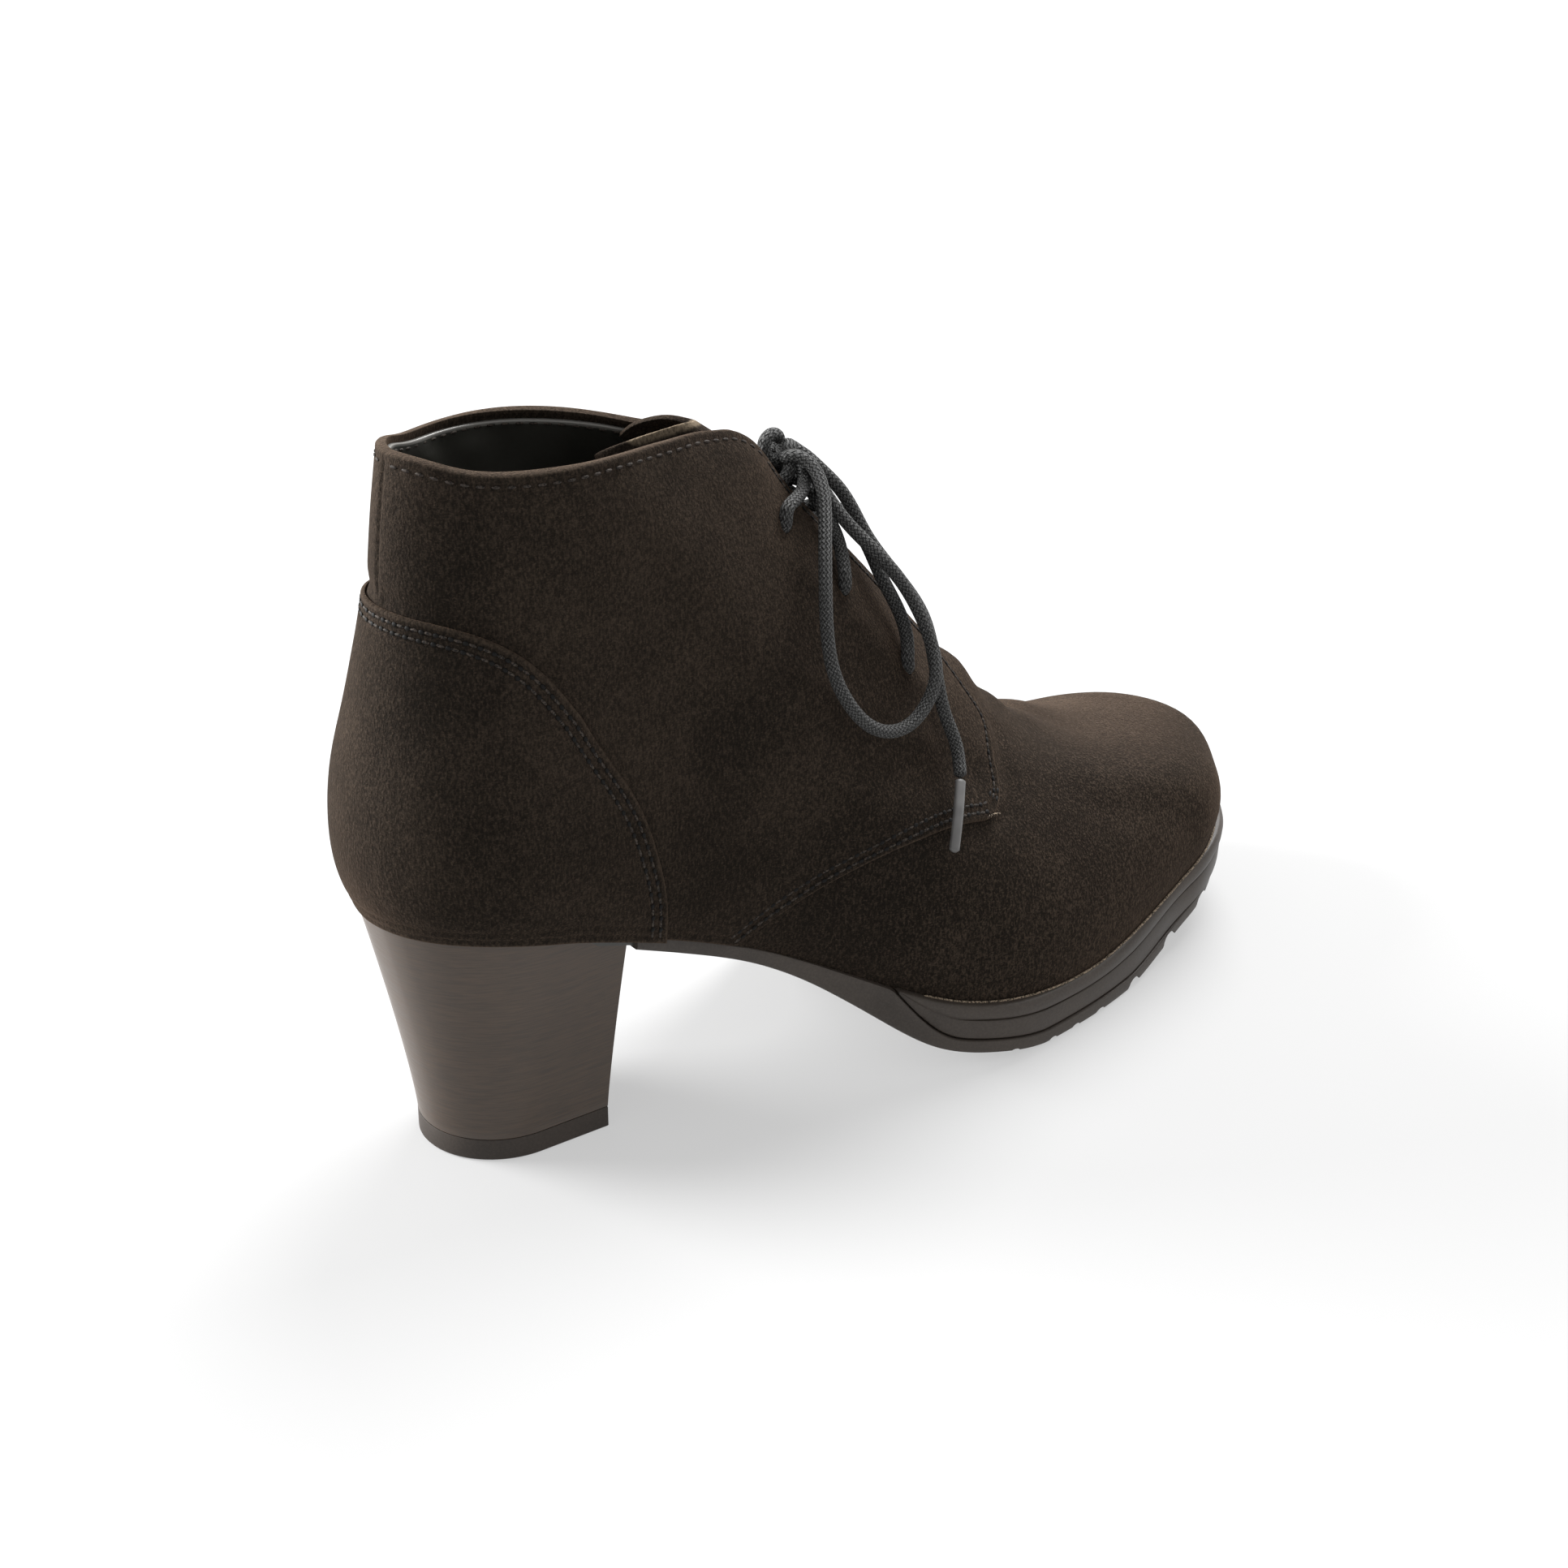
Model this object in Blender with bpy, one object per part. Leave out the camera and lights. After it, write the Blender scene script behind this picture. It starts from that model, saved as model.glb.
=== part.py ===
"""Heeled lace-up ankle boot for the right foot, standing empty at rest, in metres.

X runs from heel to toe, Y from the outer (lateral) side to the inner (medial) side, Z up; the floor is Z = 0.
Sizes below are in millimetres. One function, ring_side, gives the last's shape as a stack of slanted levels
from the feather line, where the sole starts, up to the collar; the upper, overlays, tongue, insole and sole
follow it.
"""

import math

import bmesh
import bpy
import numpy as np
from mathutils import Matrix, Vector

MM = 0.001

# Driving dimensions
BOOT_LENGTH = 246.0
BALL_HALF_WIDTH = 44.0
COLLAR_HEIGHT = 164.0
SEAT_HEIGHT = 61.0
# Middle of the boot's box in the last's own coordinates; the boot is moved to put it over the origin
BOX_MIDDLE = (-0.98, -0.02)

# Walls and clearances
GAP = 0.3
JOINED = 0.01
MERGE = 0.002
SHARP_ANGLE = math.radians(35)
WALL = 1.8
PANEL = 1.2
COUNTER_STEP = 1.2
TONGUE_THICK = 2.0
TONGUE_GAP = 0.8
INSOLE_THICK = 2.2
INSOLE_LIFT = 0.4
INSOLE_POINTS = 26

# Mesh density of the upper
SIDE_POINTS = 22
LEVEL_STEP = 0.5
THROAT_LEVEL = 6.0
THROAT_FOOT_STEP = 0.12
COLLAR_LEVEL = 8.0
TONGUE_FOOT_LEVEL = 5.5
TONGUE_TOP_LEVEL = 8.06
TONGUE_TOP_DROP = 0.14
TONGUE_HALF_WIDTH = 24.0
TONGUE_ROWS, TONGUE_POINTS = 9, 17

# Half the lace gap between the two facings, at the throat's foot and at the collar
THROAT_GAP_FOOT = 4.5
THROAT_GAP_TOP = 7.5

# A row for each level. Ends in shares of BOOT_LENGTH from the middle, heights in shares of COLLAR_HEIGHT,
# sag in shares of SEAT_HEIGHT, half-widths in shares of BALL_HALF_WIDTH, end roundings in millimetres.
LEVEL_COLUMNS = (
    "back_x", "back_z", "front_x", "front_z", "sag",
    "heel", "waist", "ball", "toe", "back_round", "front_round",
)
LEVELS = {
    "feather": (-0.476, 0.372, 0.486, 0.134, 0.402, 0.614, 0.615, 0.814, 0.769, 30, 30),
    "welt": (-0.488, 0.424, 0.495, 0.180, 0.385, 0.666, 0.674, 0.851, 0.802, 30, 30),
    "toe_wall": (-0.492, 0.488, 0.482, 0.232, 0.328, 0.682, 0.685, 0.838, 0.774, 30, 30),
    "toe_top": (-0.489, 0.564, 0.437, 0.271, 0.254, 0.666, 0.674, 0.790, 0.669, 30, 31),
    "vamp": (-0.480, 0.640, 0.341, 0.307, 0.164, 0.636, 0.660, 0.742, 0.542, 32, 33),
    "instep": (-0.470, 0.723, 0.217, 0.378, 0.082, 0.602, 0.640, 0.691, 0.472, 36, 33),
    "throat": (-0.459, 0.805, 0.098, 0.558, 0.016, 0.568, 0.609, 0.636, 0.424, 40, 30),
    "ankle": (-0.450, 0.896, -0.016, 0.762, 0.008, 0.545, 0.568, 0.555, 0.353, 44, 26),
    "collar": (-0.441, 1.000, -0.134, 0.948, 0.016, 0.511, 0.517, 0.463, 0.271, 46, 19),
}
LEVEL_UNITS = np.array(
    [BOOT_LENGTH, COLLAR_HEIGHT] * 2 + [SEAT_HEIGHT] + [BALL_HALF_WIDTH] * 4 + [1, 1]
)
WIDTH_STATIONS = (0.0, 0.18, 0.40, 0.513, 0.86, 1.0)
HEEL_END_SHARE = 0.96
TOE_END_SHARE = 0.78
DIP_SKEW, DIP_POWER = 1.35, 1.8

# The foot's curve: where the middle of each section lies, and how much fuller the outer ball is
CENTRE_X = (-125.0, -70.0, -20.0, 30.0, 75.0, 110.0, 126.0)
CENTRE_Y = (4.0, 4.0, 1.0, -0.5, 3.0, 9.5, 13.0)
HEEL_AXIS_Y = CENTRE_Y[0]
BALL_LEAN = 0.052
LEAN_FROM, LEAN_TO = 0.40, 0.954

# Panel edges as seen from the side, x and z
COUNTER_EDGE = ((-130.0, 132.0), (-114.8, 131.2), (-104.0, 129.3), (-93.9, 123.6), (-82.0, 108.1),
                (-71.1, 88.6), (-66.2, 70.0), (-63.9, 56.0), (-63.3, 40.0))
QUARTER_SEAM = ((-52.0, 36.0), (-44.5, 42.8), (-31.1, 49.7), (-19.7, 54.3), (-8.7, 58.3), (3.9, 59.9),
                (17.0, 57.6))
FLAP_FRONT = ((22.5, 57.8), (27.5, 63.5), (31.0, 71.0), (30.2, 78.5), (26.5, 86.5), (21.5, 94.0),
              (18.0, 101.0))
COUNTER_EDGE_POINTS, SEAM_POINTS, FLAP_POINTS = 18, 12, 10
# How far the side-view cutters reach past the boot
PANEL_REACH = 90.0
CUT_BACK_X, CUT_FRONT_X, CUT_TOP_Z, CUT_FRONT_Z = -140.0, 60.0, 200.0, 110.0
QUARTER_FOOT = (-60.0, 28.0)

# Punched lace holes on each facing: the level, and the run along it from the ridge
EYELETS = ((5.88, 31.3), (6.58, 25.7), (7.14, 20.0))
EYELET_RADIUS = 1.7
EYELET_SIDES = 10
NORMAL_STEP = 0.1

# Sole
WAIST_BACK_X = -69.5
PLATFORM_BACK_X = -6.2
SWOOP_START = -1.5
SWOOP_LENGTH = 15.0
SWOOP_POWER = 2.2
LUG_LAYER = 3.6
FLAT_TRIM = 0.1
BOTTOM_X = (-70.0, -54.0, -39.0, -22.5, -11.5, 0.0, 9.0, 18.0, 30.0, 48.0, 62.0, 78.0, 94.0, 110.0, 126.0)
BOTTOM_Z = (46.6, 40.8, 34.4, 24.8, 16.5, 7.9, 4.0, 2.0, 0.1, 0.0, 0.1, 3.2, 7.4, 10.6, 12.6)
SOLE_POINTS = 22
WAIST_POINTS = 8
# Height from the bottom edge to the top edge as a share, and how far it stands out from the feather line
PLATFORM_PROFILE = ((0.0, 0.5), (0.50, 0.8), (0.55, 0.1), (0.60, 0.1), (0.66, 1.1), (0.85, 1.6), (1.0, 1.1))
OUTSOLE_PROFILE = ((0.0, -1.4), (0.3, -0.3), (0.86, 0.2), (1.0, 0.2))
WAIST_TUCK, WAIST_TUCK_TO, WAIST_TUCK_RUN = 0.8, 10.0, 30.0
PLATFORM_TUCK, PLATFORM_TUCK_TO, PLATFORM_TUCK_RUN = 1.6, 8.0, 14.0
LUG_CUTS_X = (15.0, 25.0, 36.0, 46.5, 58.0, 74.0, 92.0)
LUG_CUT_WIDTH = 3.0
LUG_CUT_DEPTH = 2.0
LUG_CUT_TURN = math.radians(-9)

# Heel
HEEL_BACK_X, HEEL_FRONT_X = -108.1, -72.0
HEEL_FOOT_HALF = 17.6
HEEL_FOOT_ROUND = 18.5
HEEL_POINTS = 13
HEEL_RISES = (0.0, 0.25, 0.5, 0.75, 0.94, 1.0)
HEEL_FLARE = 1.2
HEEL_FOOT_SPREAD = 1.3
# How far the heel stands inside the feather line, at the back and at the breast; its top edge is cut back
HEEL_INSET_BACK, HEEL_INSET_BREAST = -1.7, 1.0
LIFT_THICK = 5.0

# Lace: routes chosen by hand, X, Y and Z
LACE_LOOK = ((0.018, 0.018, 0.019), 0.75)
AGLET_LOOK = ((0.10, 0.10, 0.11), 0.35)
LACE_RADIUS = 1.55
AGLET_RADIUS = 1.3
LACE_SIDES = 8
BAR_LIFT = PANEL + 3 * GAP + LACE_RADIUS
BAR_POINTS = 9
TOP_BAR_RISE = 0.262
KNOT_LEVEL = 7.543
KNOT_RADIUS = 2.6
KNOT_CLEAR = 0.5
KNOT_RISE = 5.0
KNOT_TURNS = 1.3
KNOT_POINTS = 14
KNOT_STEP = 0.9
LOOP_BESIDE = 2 * LACE_RADIUS + GAP
LOOP_ROUTE = (
    (-16.5, -9.4, 142.7), (-15.1, -12.4, 140.7), (-15.7, -16.2, 136.7), (-17.6, -20.2, 131.6),
    (-21.3, -25.4, 122.7), (-23.7, -29.6, 112.2), (-23.0, -31.3, 104.3), (-19.8, -32.6, 96.8),
    (-14.5, -33.3, 90.6), (-8.7, -33.3, 87.9), (-3.5, -32.9, 88.1), (2.1, -32.0, 91.9), (5.0, -30.7, 96.4),
    (6.9, -28.5, 101.0), (6.6, -24.8, 108.7), (3.4, -20.6, 117.1), (-1.7, -17.2, 124.3), (-6.1, -13.6, 130.2),
    (-8.9, -10.2, 135.1), (-10.5, -7.1, 139.6), (-10.9, -4.9, 143.2),
)
END_ROUTE = (
    (-10.9, -1.3, 144.6), (-8.0, -2.2, 142.4), (-4.1, -3.7, 138.7), (-0.9, -5.5, 133.8), (1.2, -7.4, 128.9),
    (2.7, -9.6, 124.2), (5.0, -12.4, 118.8), (8.1, -15.8, 112.9), (10.1, -19.6, 105.9), (9.6, -23.6, 99.0),
    (9.6, -26.0, 91.1), (11.4, -26.9, 82.9), (13.1, -28.5, 76.4), (11.6, -32.0, 71.2),
)
AGLET_ROUTE = ((11.2, -32.7, 70.2), (6.9, -37.4, 64.2), (3.3, -40.7, 57.5))
CORD_STEP = 2.5
LACE_MIDDLE_Y = 0.8


def natural_spline(knots, values):
    """Evaluator of the natural cubic spline through values (or rows of values) at knots."""
    x = np.asarray(knots, float)
    y = np.asarray(values, float)
    h = np.diff(x)
    count = len(x)
    system = np.eye(count)
    right_side = np.zeros_like(y)
    for i in range(1, count - 1):
        system[i, i - 1 : i + 2] = h[i - 1], 2 * (h[i - 1] + h[i]), h[i]
        right_side[i] = 6 * ((y[i + 1] - y[i]) / h[i] - (y[i] - y[i - 1]) / h[i - 1])
    bend = np.linalg.solve(system, right_side)

    def at(t):
        t = np.asarray(t, float)
        i = np.clip(np.searchsorted(x, t) - 1, 0, count - 2)
        span, left, right = h[i], t - x[i], x[i + 1] - t
        if y.ndim > 1:
            span, left, right = span[..., None], left[..., None], right[..., None]
        cubic = (bend[i] * right**3 + bend[i + 1] * left**3) / (6 * span)
        from_left = (y[i] / span - bend[i] * span / 6) * right
        from_right = (y[i + 1] / span - bend[i + 1] * span / 6) * left
        return cubic + from_left + from_right

    return at


level_row = natural_spline(range(len(LEVELS)), np.array(list(LEVELS.values())) * LEVEL_UNITS)
centre_y = natural_spline(CENTRE_X, CENTRE_Y)
bottom_curve = natural_spline(BOTTOM_X, BOTTOM_Z)


def bottom_z(x):
    """Height of the sole's bottom edge, its lowest stretch trimmed flat on the floor."""
    return np.maximum(bottom_curve(x) - FLAT_TRIM, 0)


def sole_dip(u):
    """Shape of the sole line between heel seat and toe, 1 at the ball."""
    return np.sin(np.pi * np.clip(u, 0, 1) ** DIP_SKEW) ** DIP_POWER


def ring_side(level, side, dense=240):
    """Points of one side of a level from back middle to front middle; side is -1 lateral, 1 medial."""
    row = dict(zip(LEVEL_COLUMNS, level_row(level)))
    span = row["front_x"] - row["back_x"]
    u = (1 - np.cos(np.linspace(0, np.pi, dense))) / 2
    x = row["back_x"] + span * u
    z = row["back_z"] + (row["front_z"] - row["back_z"]) * u - row["sag"] * sole_dip(u)
    widths = (HEEL_END_SHARE * row["heel"], row["heel"], row["waist"], row["ball"], row["toe"])
    half = natural_spline(WIDTH_STATIONS, widths + (TOE_END_SHARE * row["toe"],))(u)
    back = np.clip(1 - u * span / row["back_round"], 0, 1)
    front = np.clip(1 - (1 - u) * span / row["front_round"], 0, 1)
    leaning = (u > LEAN_FROM) & (u < LEAN_TO)
    swing = np.sin(2 * np.pi * (u - LEAN_FROM) / (LEAN_TO - LEAN_FROM)) * leaning
    lean = BALL_LEAN * swing * np.clip(1 - level / THROAT_LEVEL, 0, 1)
    half = half * np.sqrt(1 - back**2) * np.sqrt(1 - front**2) * (1 - side * lean)
    return np.stack([x, centre_y(x) + side * half, z], axis=1)


def resample(points, count):
    """Evenly spaced points along a polyline; columns past the third ride along."""
    run = np.concatenate([[0], np.cumsum(np.linalg.norm(np.diff(points[:, :3], axis=0), axis=1))])
    want = np.linspace(0, run[-1], count)
    return np.stack([np.interp(want, run, column) for column in points.T], axis=1)


def throat_gap(level):
    """Half the opening between the facings at a level; none below the throat."""
    if level < THROAT_LEVEL:
        return 0.0
    rise = (level - THROAT_LEVEL) / (COLLAR_LEVEL - THROAT_LEVEL)
    return THROAT_GAP_FOOT + (THROAT_GAP_TOP - THROAT_GAP_FOOT) * rise


def upper_side(level, side, count):
    """One side of a level cut back to its facing edge, evenly spaced from the back."""
    points = ring_side(level, side)
    past_widest = np.arange(len(points)) > len(points) // 2
    in_gap = past_widest & (np.abs(points[:, 1] - centre_y(points[:, 0])) < throat_gap(level))
    return resample(points[~in_gap], count)


def upper_sheet(levels):
    """Grid of the upper's outer face, a row per level, from the lateral facing round to the medial one."""
    rows = []
    for level in levels:
        lateral = upper_side(level, -1, SIDE_POINTS)
        medial = upper_side(level, 1, SIDE_POINTS)
        rows.append(np.concatenate([lateral[::-1], medial[1:]]))
    return np.array(rows)


def grown(sheet, amount):
    """A sheet moved outwards along its normals; columns that meet at the front share theirs."""
    normal = np.cross(np.gradient(sheet, axis=0), np.gradient(sheet, axis=1))
    normal /= np.linalg.norm(normal, axis=2, keepdims=True)
    joined = np.linalg.norm(sheet[:, 0] - sheet[:, -1], axis=1) < JOINED
    shared = normal[joined, 0] + normal[joined, -1]
    shared /= np.linalg.norm(shared, axis=1, keepdims=True)
    normal[joined, 0] = shared
    normal[joined, -1] = shared
    return sheet + normal * amount


def material_of(name, colour, roughness):
    material = bpy.data.materials.new(name)
    material.use_nodes = True
    shader = material.node_tree.nodes["Principled BSDF"]
    shader.inputs["Base Color"].default_value = (*colour, 1)
    shader.inputs["Roughness"].default_value = roughness
    shader.inputs["Metallic"].default_value = 0
    return material


def add_object(name, mesh_or_curve, look, helper=False):
    thing = bpy.data.objects.new(name, mesh_or_curve)
    bpy.context.scene.collection.objects.link(thing)
    thing.parent = bpy.data.objects["boot"]
    if helper:
        thing.hide_render = True
        thing.display_type = "WIRE"
    else:
        mesh_or_curve.materials.append(material_of(name, *look))
    return thing


def finish_mesh(name, bm, look, helper=False):
    """Merges, faces outwards and turns a bmesh drawn in millimetres into an object in metres."""
    bmesh.ops.remove_doubles(bm, verts=bm.verts, dist=MERGE)
    bmesh.ops.recalc_face_normals(bm, faces=bm.faces)
    bmesh.ops.scale(bm, vec=(MM, MM, MM), verts=bm.verts)
    mesh = bpy.data.meshes.new(name)
    bm.to_mesh(mesh)
    bm.free()
    mesh.shade_smooth()
    mesh.set_sharp_from_angle(angle=SHARP_ANGLE)
    return add_object(name, mesh, look, helper)


def add_face(bm, corners):
    """A face on the corners that are apart; none where fewer than three are."""
    apart = []
    for corner in corners:
        if all((corner.co - other.co).length > MERGE for other in apart):
            apart.append(corner)
    if len(apart) > 2:
        bm.faces.new(apart)


def sheet_solid(name, inner, outer, look, helper=False):
    """A closed wall between two grids of the same size, whose first and last columns may meet."""
    bm = bmesh.new()
    skins = [[[bm.verts.new(point) for point in row] for row in sheet] for sheet in (inner, outer)]
    rows, columns = len(inner), len(inner[0])
    for skin in skins:
        for i in range(rows - 1):
            for j in range(columns - 1):
                add_face(bm, (skin[i][j], skin[i][j + 1], skin[i + 1][j + 1]))
                add_face(bm, (skin[i][j], skin[i + 1][j + 1], skin[i + 1][j]))
    low, high = skins
    rim = [(0, j, 0, j + 1) for j in range(columns - 1)]
    rim += [(rows - 1, j, rows - 1, j + 1) for j in range(columns - 1)]
    joined = np.linalg.norm(inner[:, 0] - inner[:, -1], axis=1) < JOINED
    for i in range(rows - 1):
        if not (joined[i] and joined[i + 1]):
            rim += [(i, 0, i + 1, 0), (i, columns - 1, i + 1, columns - 1)]
    for i, j, k, m in rim:
        add_face(bm, (low[i][j], low[k][m], high[k][m], high[i][j]))
    return finish_mesh(name, bm, look, helper)


def loft(name, rings, look, helper=False):
    """A closed solid through rings. A ring is its lateral and its medial points, paired from side to side."""
    bm = bmesh.new()
    loops = [[[bm.verts.new(point) for point in side] for side in ring] for ring in rings]
    count = len(loops[0][0])
    for below, above in zip(loops, loops[1:]):
        for low, high in zip(below, above):
            for k in range(count - 1):
                add_face(bm, (low[k], low[k + 1], high[k + 1], high[k]))
        for k in (0, count - 1):
            add_face(bm, (below[0][k], below[1][k], above[1][k], above[0][k]))
    for lateral, medial in (loops[0], loops[-1]):
        for k in range(count - 1):
            add_face(bm, (lateral[k], lateral[k + 1], medial[k + 1], medial[k]))
    return finish_mesh(name, bm, look, helper)


def combine(thing, other, operation):
    """Applies a Boolean with a helper mesh."""
    modifier = thing.modifiers.new(f"{operation.lower()} {other.name}", "BOOLEAN")
    modifier.operation = operation
    modifier.solver = "EXACT"
    modifier.object = other


def prism(name, outline, y_from, y_to):
    """A helper solid: a side-view outline drawn out along Y."""
    bm = bmesh.new()
    corners = [bm.verts.new((x, y_from, z)) for x, z in outline]
    bm.faces.new(corners)
    drawn = bmesh.ops.extrude_face_region(bm, geom=bm.faces[:])["geom"]
    moved = [item for item in drawn if isinstance(item, bmesh.types.BMVert)]
    bmesh.ops.translate(bm, vec=(0, y_to - y_from, 0), verts=moved)
    return finish_mesh(name, bm, None, helper=True)


def curve_through(points, count):
    """Evenly spaced points on the natural spline through a few points in the plane or in space."""
    points = np.asarray(points, float)
    run = np.concatenate([[0], np.cumsum(np.linalg.norm(np.diff(points, axis=0), axis=1))])
    return natural_spline(run, points)(np.linspace(0, run[-1], count))


def feather_line(side):
    """The feather line on one side from heel to toe: point, and outward normal in plan."""
    points = ring_side(0, side)
    run = np.gradient(points[:, :2], axis=0)
    run[0], run[-1] = (0, side), (0, -side)
    normal = np.stack([-run[:, 1], run[:, 0]], axis=1) * side
    return np.concatenate([points, normal / np.linalg.norm(normal, axis=1, keepdims=True)], axis=1)


def feather_stations(side):
    """The sole's stations on one side from the heel breast to the toe tip, as rows of the feather line."""
    line = feather_line(side)

    def between(x_from, x_to, count):
        ends = [[[np.interp(x, line[:, 0], column) for column in line.T]] for x in (x_from, x_to)]
        inside = line[(line[:, 0] > x_from) & (line[:, 0] < x_to)]
        return resample(np.concatenate([ends[0], inside, ends[1]]), count)

    waist = between(WAIST_BACK_X, PLATFORM_BACK_X, WAIST_POINTS)
    return np.concatenate([waist[:-1], between(PLATFORM_BACK_X, line[-1, 0], SOLE_POINTS)])


def feather_z(x):
    """Height of the feather line, the top of the sole, at x."""
    line = ring_side(0, -1)
    return np.interp(x, line[:, 0], line[:, 2])


def outsole_top(x):
    """Top of the outsole: under the upper along the waist, then swooping down under the platform."""
    run = np.clip((x - PLATFORM_BACK_X - SWOOP_START) / SWOOP_LENGTH, 0, 1)
    depth = feather_z(x) - GAP - bottom_z(x) - LUG_LAYER
    return feather_z(x) - GAP - np.maximum(depth, 0) * (1 - (1 - run) ** SWOOP_POWER)


def sole_ring(first, outset, height):
    """A ring of the sole from a first station on, moved out by outset(x) and raised to height(x)."""
    ring = []
    for side in (-1, 1):
        stations = feather_stations(side)[first:]
        x = stations[:, 0]
        plan = stations[:, :2] + stations[:, 3:] * np.reshape(outset(x), (-1, 1))
        ring.append(np.column_stack([plan, height(x)]))
    return ring


def build_outsole():
    def outset(amount):
        tuck = WAIST_TUCK / WAIST_TUCK_RUN
        return lambda x: amount - np.clip(tuck * (WAIST_TUCK_TO - x), 0, WAIST_TUCK)

    def height(share):
        return lambda x: bottom_z(x) + (outsole_top(x) - bottom_z(x)) * share

    rings = [sole_ring(0, outset(out), height(share)) for share, out in OUTSOLE_PROFILE]
    sole = loft("outsole", rings, ((0.030, 0.026, 0.023), 0.55))
    cuts = bmesh.new()
    for x in LUG_CUTS_X:
        middle = (x, float(centre_y(x)), float(bottom_z(x)) - LUG_CUT_DEPTH)
        turn = Matrix.Translation(middle) @ Matrix.Rotation(LUG_CUT_TURN, 4, "Z")
        size = Matrix.Diagonal((LUG_CUT_WIDTH, 4 * BALL_HALF_WIDTH, 4 * LUG_CUT_DEPTH, 1))
        bmesh.ops.create_cube(cuts, size=1, matrix=turn @ size)
    combine(sole, finish_mesh("lug_cuts", cuts, None, helper=True), "DIFFERENCE")


def build_platform():
    def outset(amount):
        tuck = PLATFORM_TUCK / PLATFORM_TUCK_RUN
        return lambda x: amount - np.clip(tuck * (PLATFORM_TUCK_TO - x), 0, PLATFORM_TUCK)

    def height(share):
        return lambda x: outsole_top(x) + GAP + (feather_z(x) - 2 * GAP - outsole_top(x)) * share

    first = WAIST_POINTS - 1
    rings = [sole_ring(first, outset(out), height(share)) for share, out in PLATFORM_PROFILE]
    loft("platform", rings, ((0.036, 0.031, 0.028), 0.45))


def heel_side(side, rise):
    """Heel outline on one side at a share of its height, from the back middle to the breast corner."""
    seat = ring_side(0, side)
    seat = resample(seat[seat[:, 0] < HEEL_FRONT_X], HEEL_POINTS)
    share = np.linspace(0, 1, HEEL_POINTS)
    back = HEEL_INSET_BACK if rise < 1 else HEEL_INSET_BREAST
    inset = back + (HEEL_INSET_BREAST - back) * share
    seat[:, 0] += inset * (1 - share)
    seat[1:, 1] -= side * inset[1:]
    run = share**HEEL_FOOT_SPREAD
    reach = HEEL_FRONT_X - HEEL_BACK_X
    round_part = np.clip(1 - run * reach / HEEL_FOOT_ROUND, 0, 1)
    foot_y = HEEL_AXIS_Y + side * HEEL_FOOT_HALF * np.sqrt(1 - round_part**2)
    foot = np.stack([HEEL_BACK_X + reach * run, foot_y], axis=1)
    side_points = np.empty((HEEL_POINTS, 3))
    side_points[:, :2] = foot + (seat[:, :2] - foot) * rise**HEEL_FLARE
    side_points[-1, 0] = HEEL_FRONT_X
    return side_points, seat[:, 2] - GAP


def build_heel():
    def ring(rise, low, share):
        sides = []
        for side in (-1, 1):
            points, top = heel_side(side, rise)
            points[:, 2] = low + (top - low) * share
            sides.append(points)
        return sides

    foot = LIFT_THICK + GAP
    loft("heel_block", [ring(rise, foot, rise) for rise in HEEL_RISES], ((0.045, 0.030, 0.022), 0.35))
    lift = [ring(0.0, 0.0, 0.0), ring(0.0, LIFT_THICK, 0.0)]
    loft("heel_top_piece", lift, ((0.022, 0.019, 0.017), 0.5))


def build_insole():
    inset = WALL + 2 * GAP

    def ring(lift):
        sides = []
        for side in (-1, 1):
            line = feather_line(side)
            line[:, :2] -= line[:, 3:] * inset
            points = resample(line, INSOLE_POINTS)[:, :3]
            points[:, 2] += lift
            sides.append(points)
        return sides

    loft("insole", [ring(INSOLE_LIFT), ring(INSOLE_LIFT + INSOLE_THICK)], ((0.020, 0.018, 0.017), 0.6))


def front_point(level, run):
    """The last's point at a run along a level from its ridge, lateral negative, and its outward normal."""

    def at(height, distance):
        points = ring_side(height, -1 if distance < 0 else 1)[::-1]
        runs = np.concatenate([[0], np.cumsum(np.linalg.norm(np.diff(points, axis=0), axis=1))])
        return np.array([np.interp(abs(distance), runs, points[:, k]) for k in range(3)])

    across = at(level, run + NORMAL_STEP) - at(level, run - NORMAL_STEP)
    up = at(level + NORMAL_STEP, run) - at(level - NORMAL_STEP, run)
    return Vector(at(level, run)), Vector(np.cross(across, up)).normalized()


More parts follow.
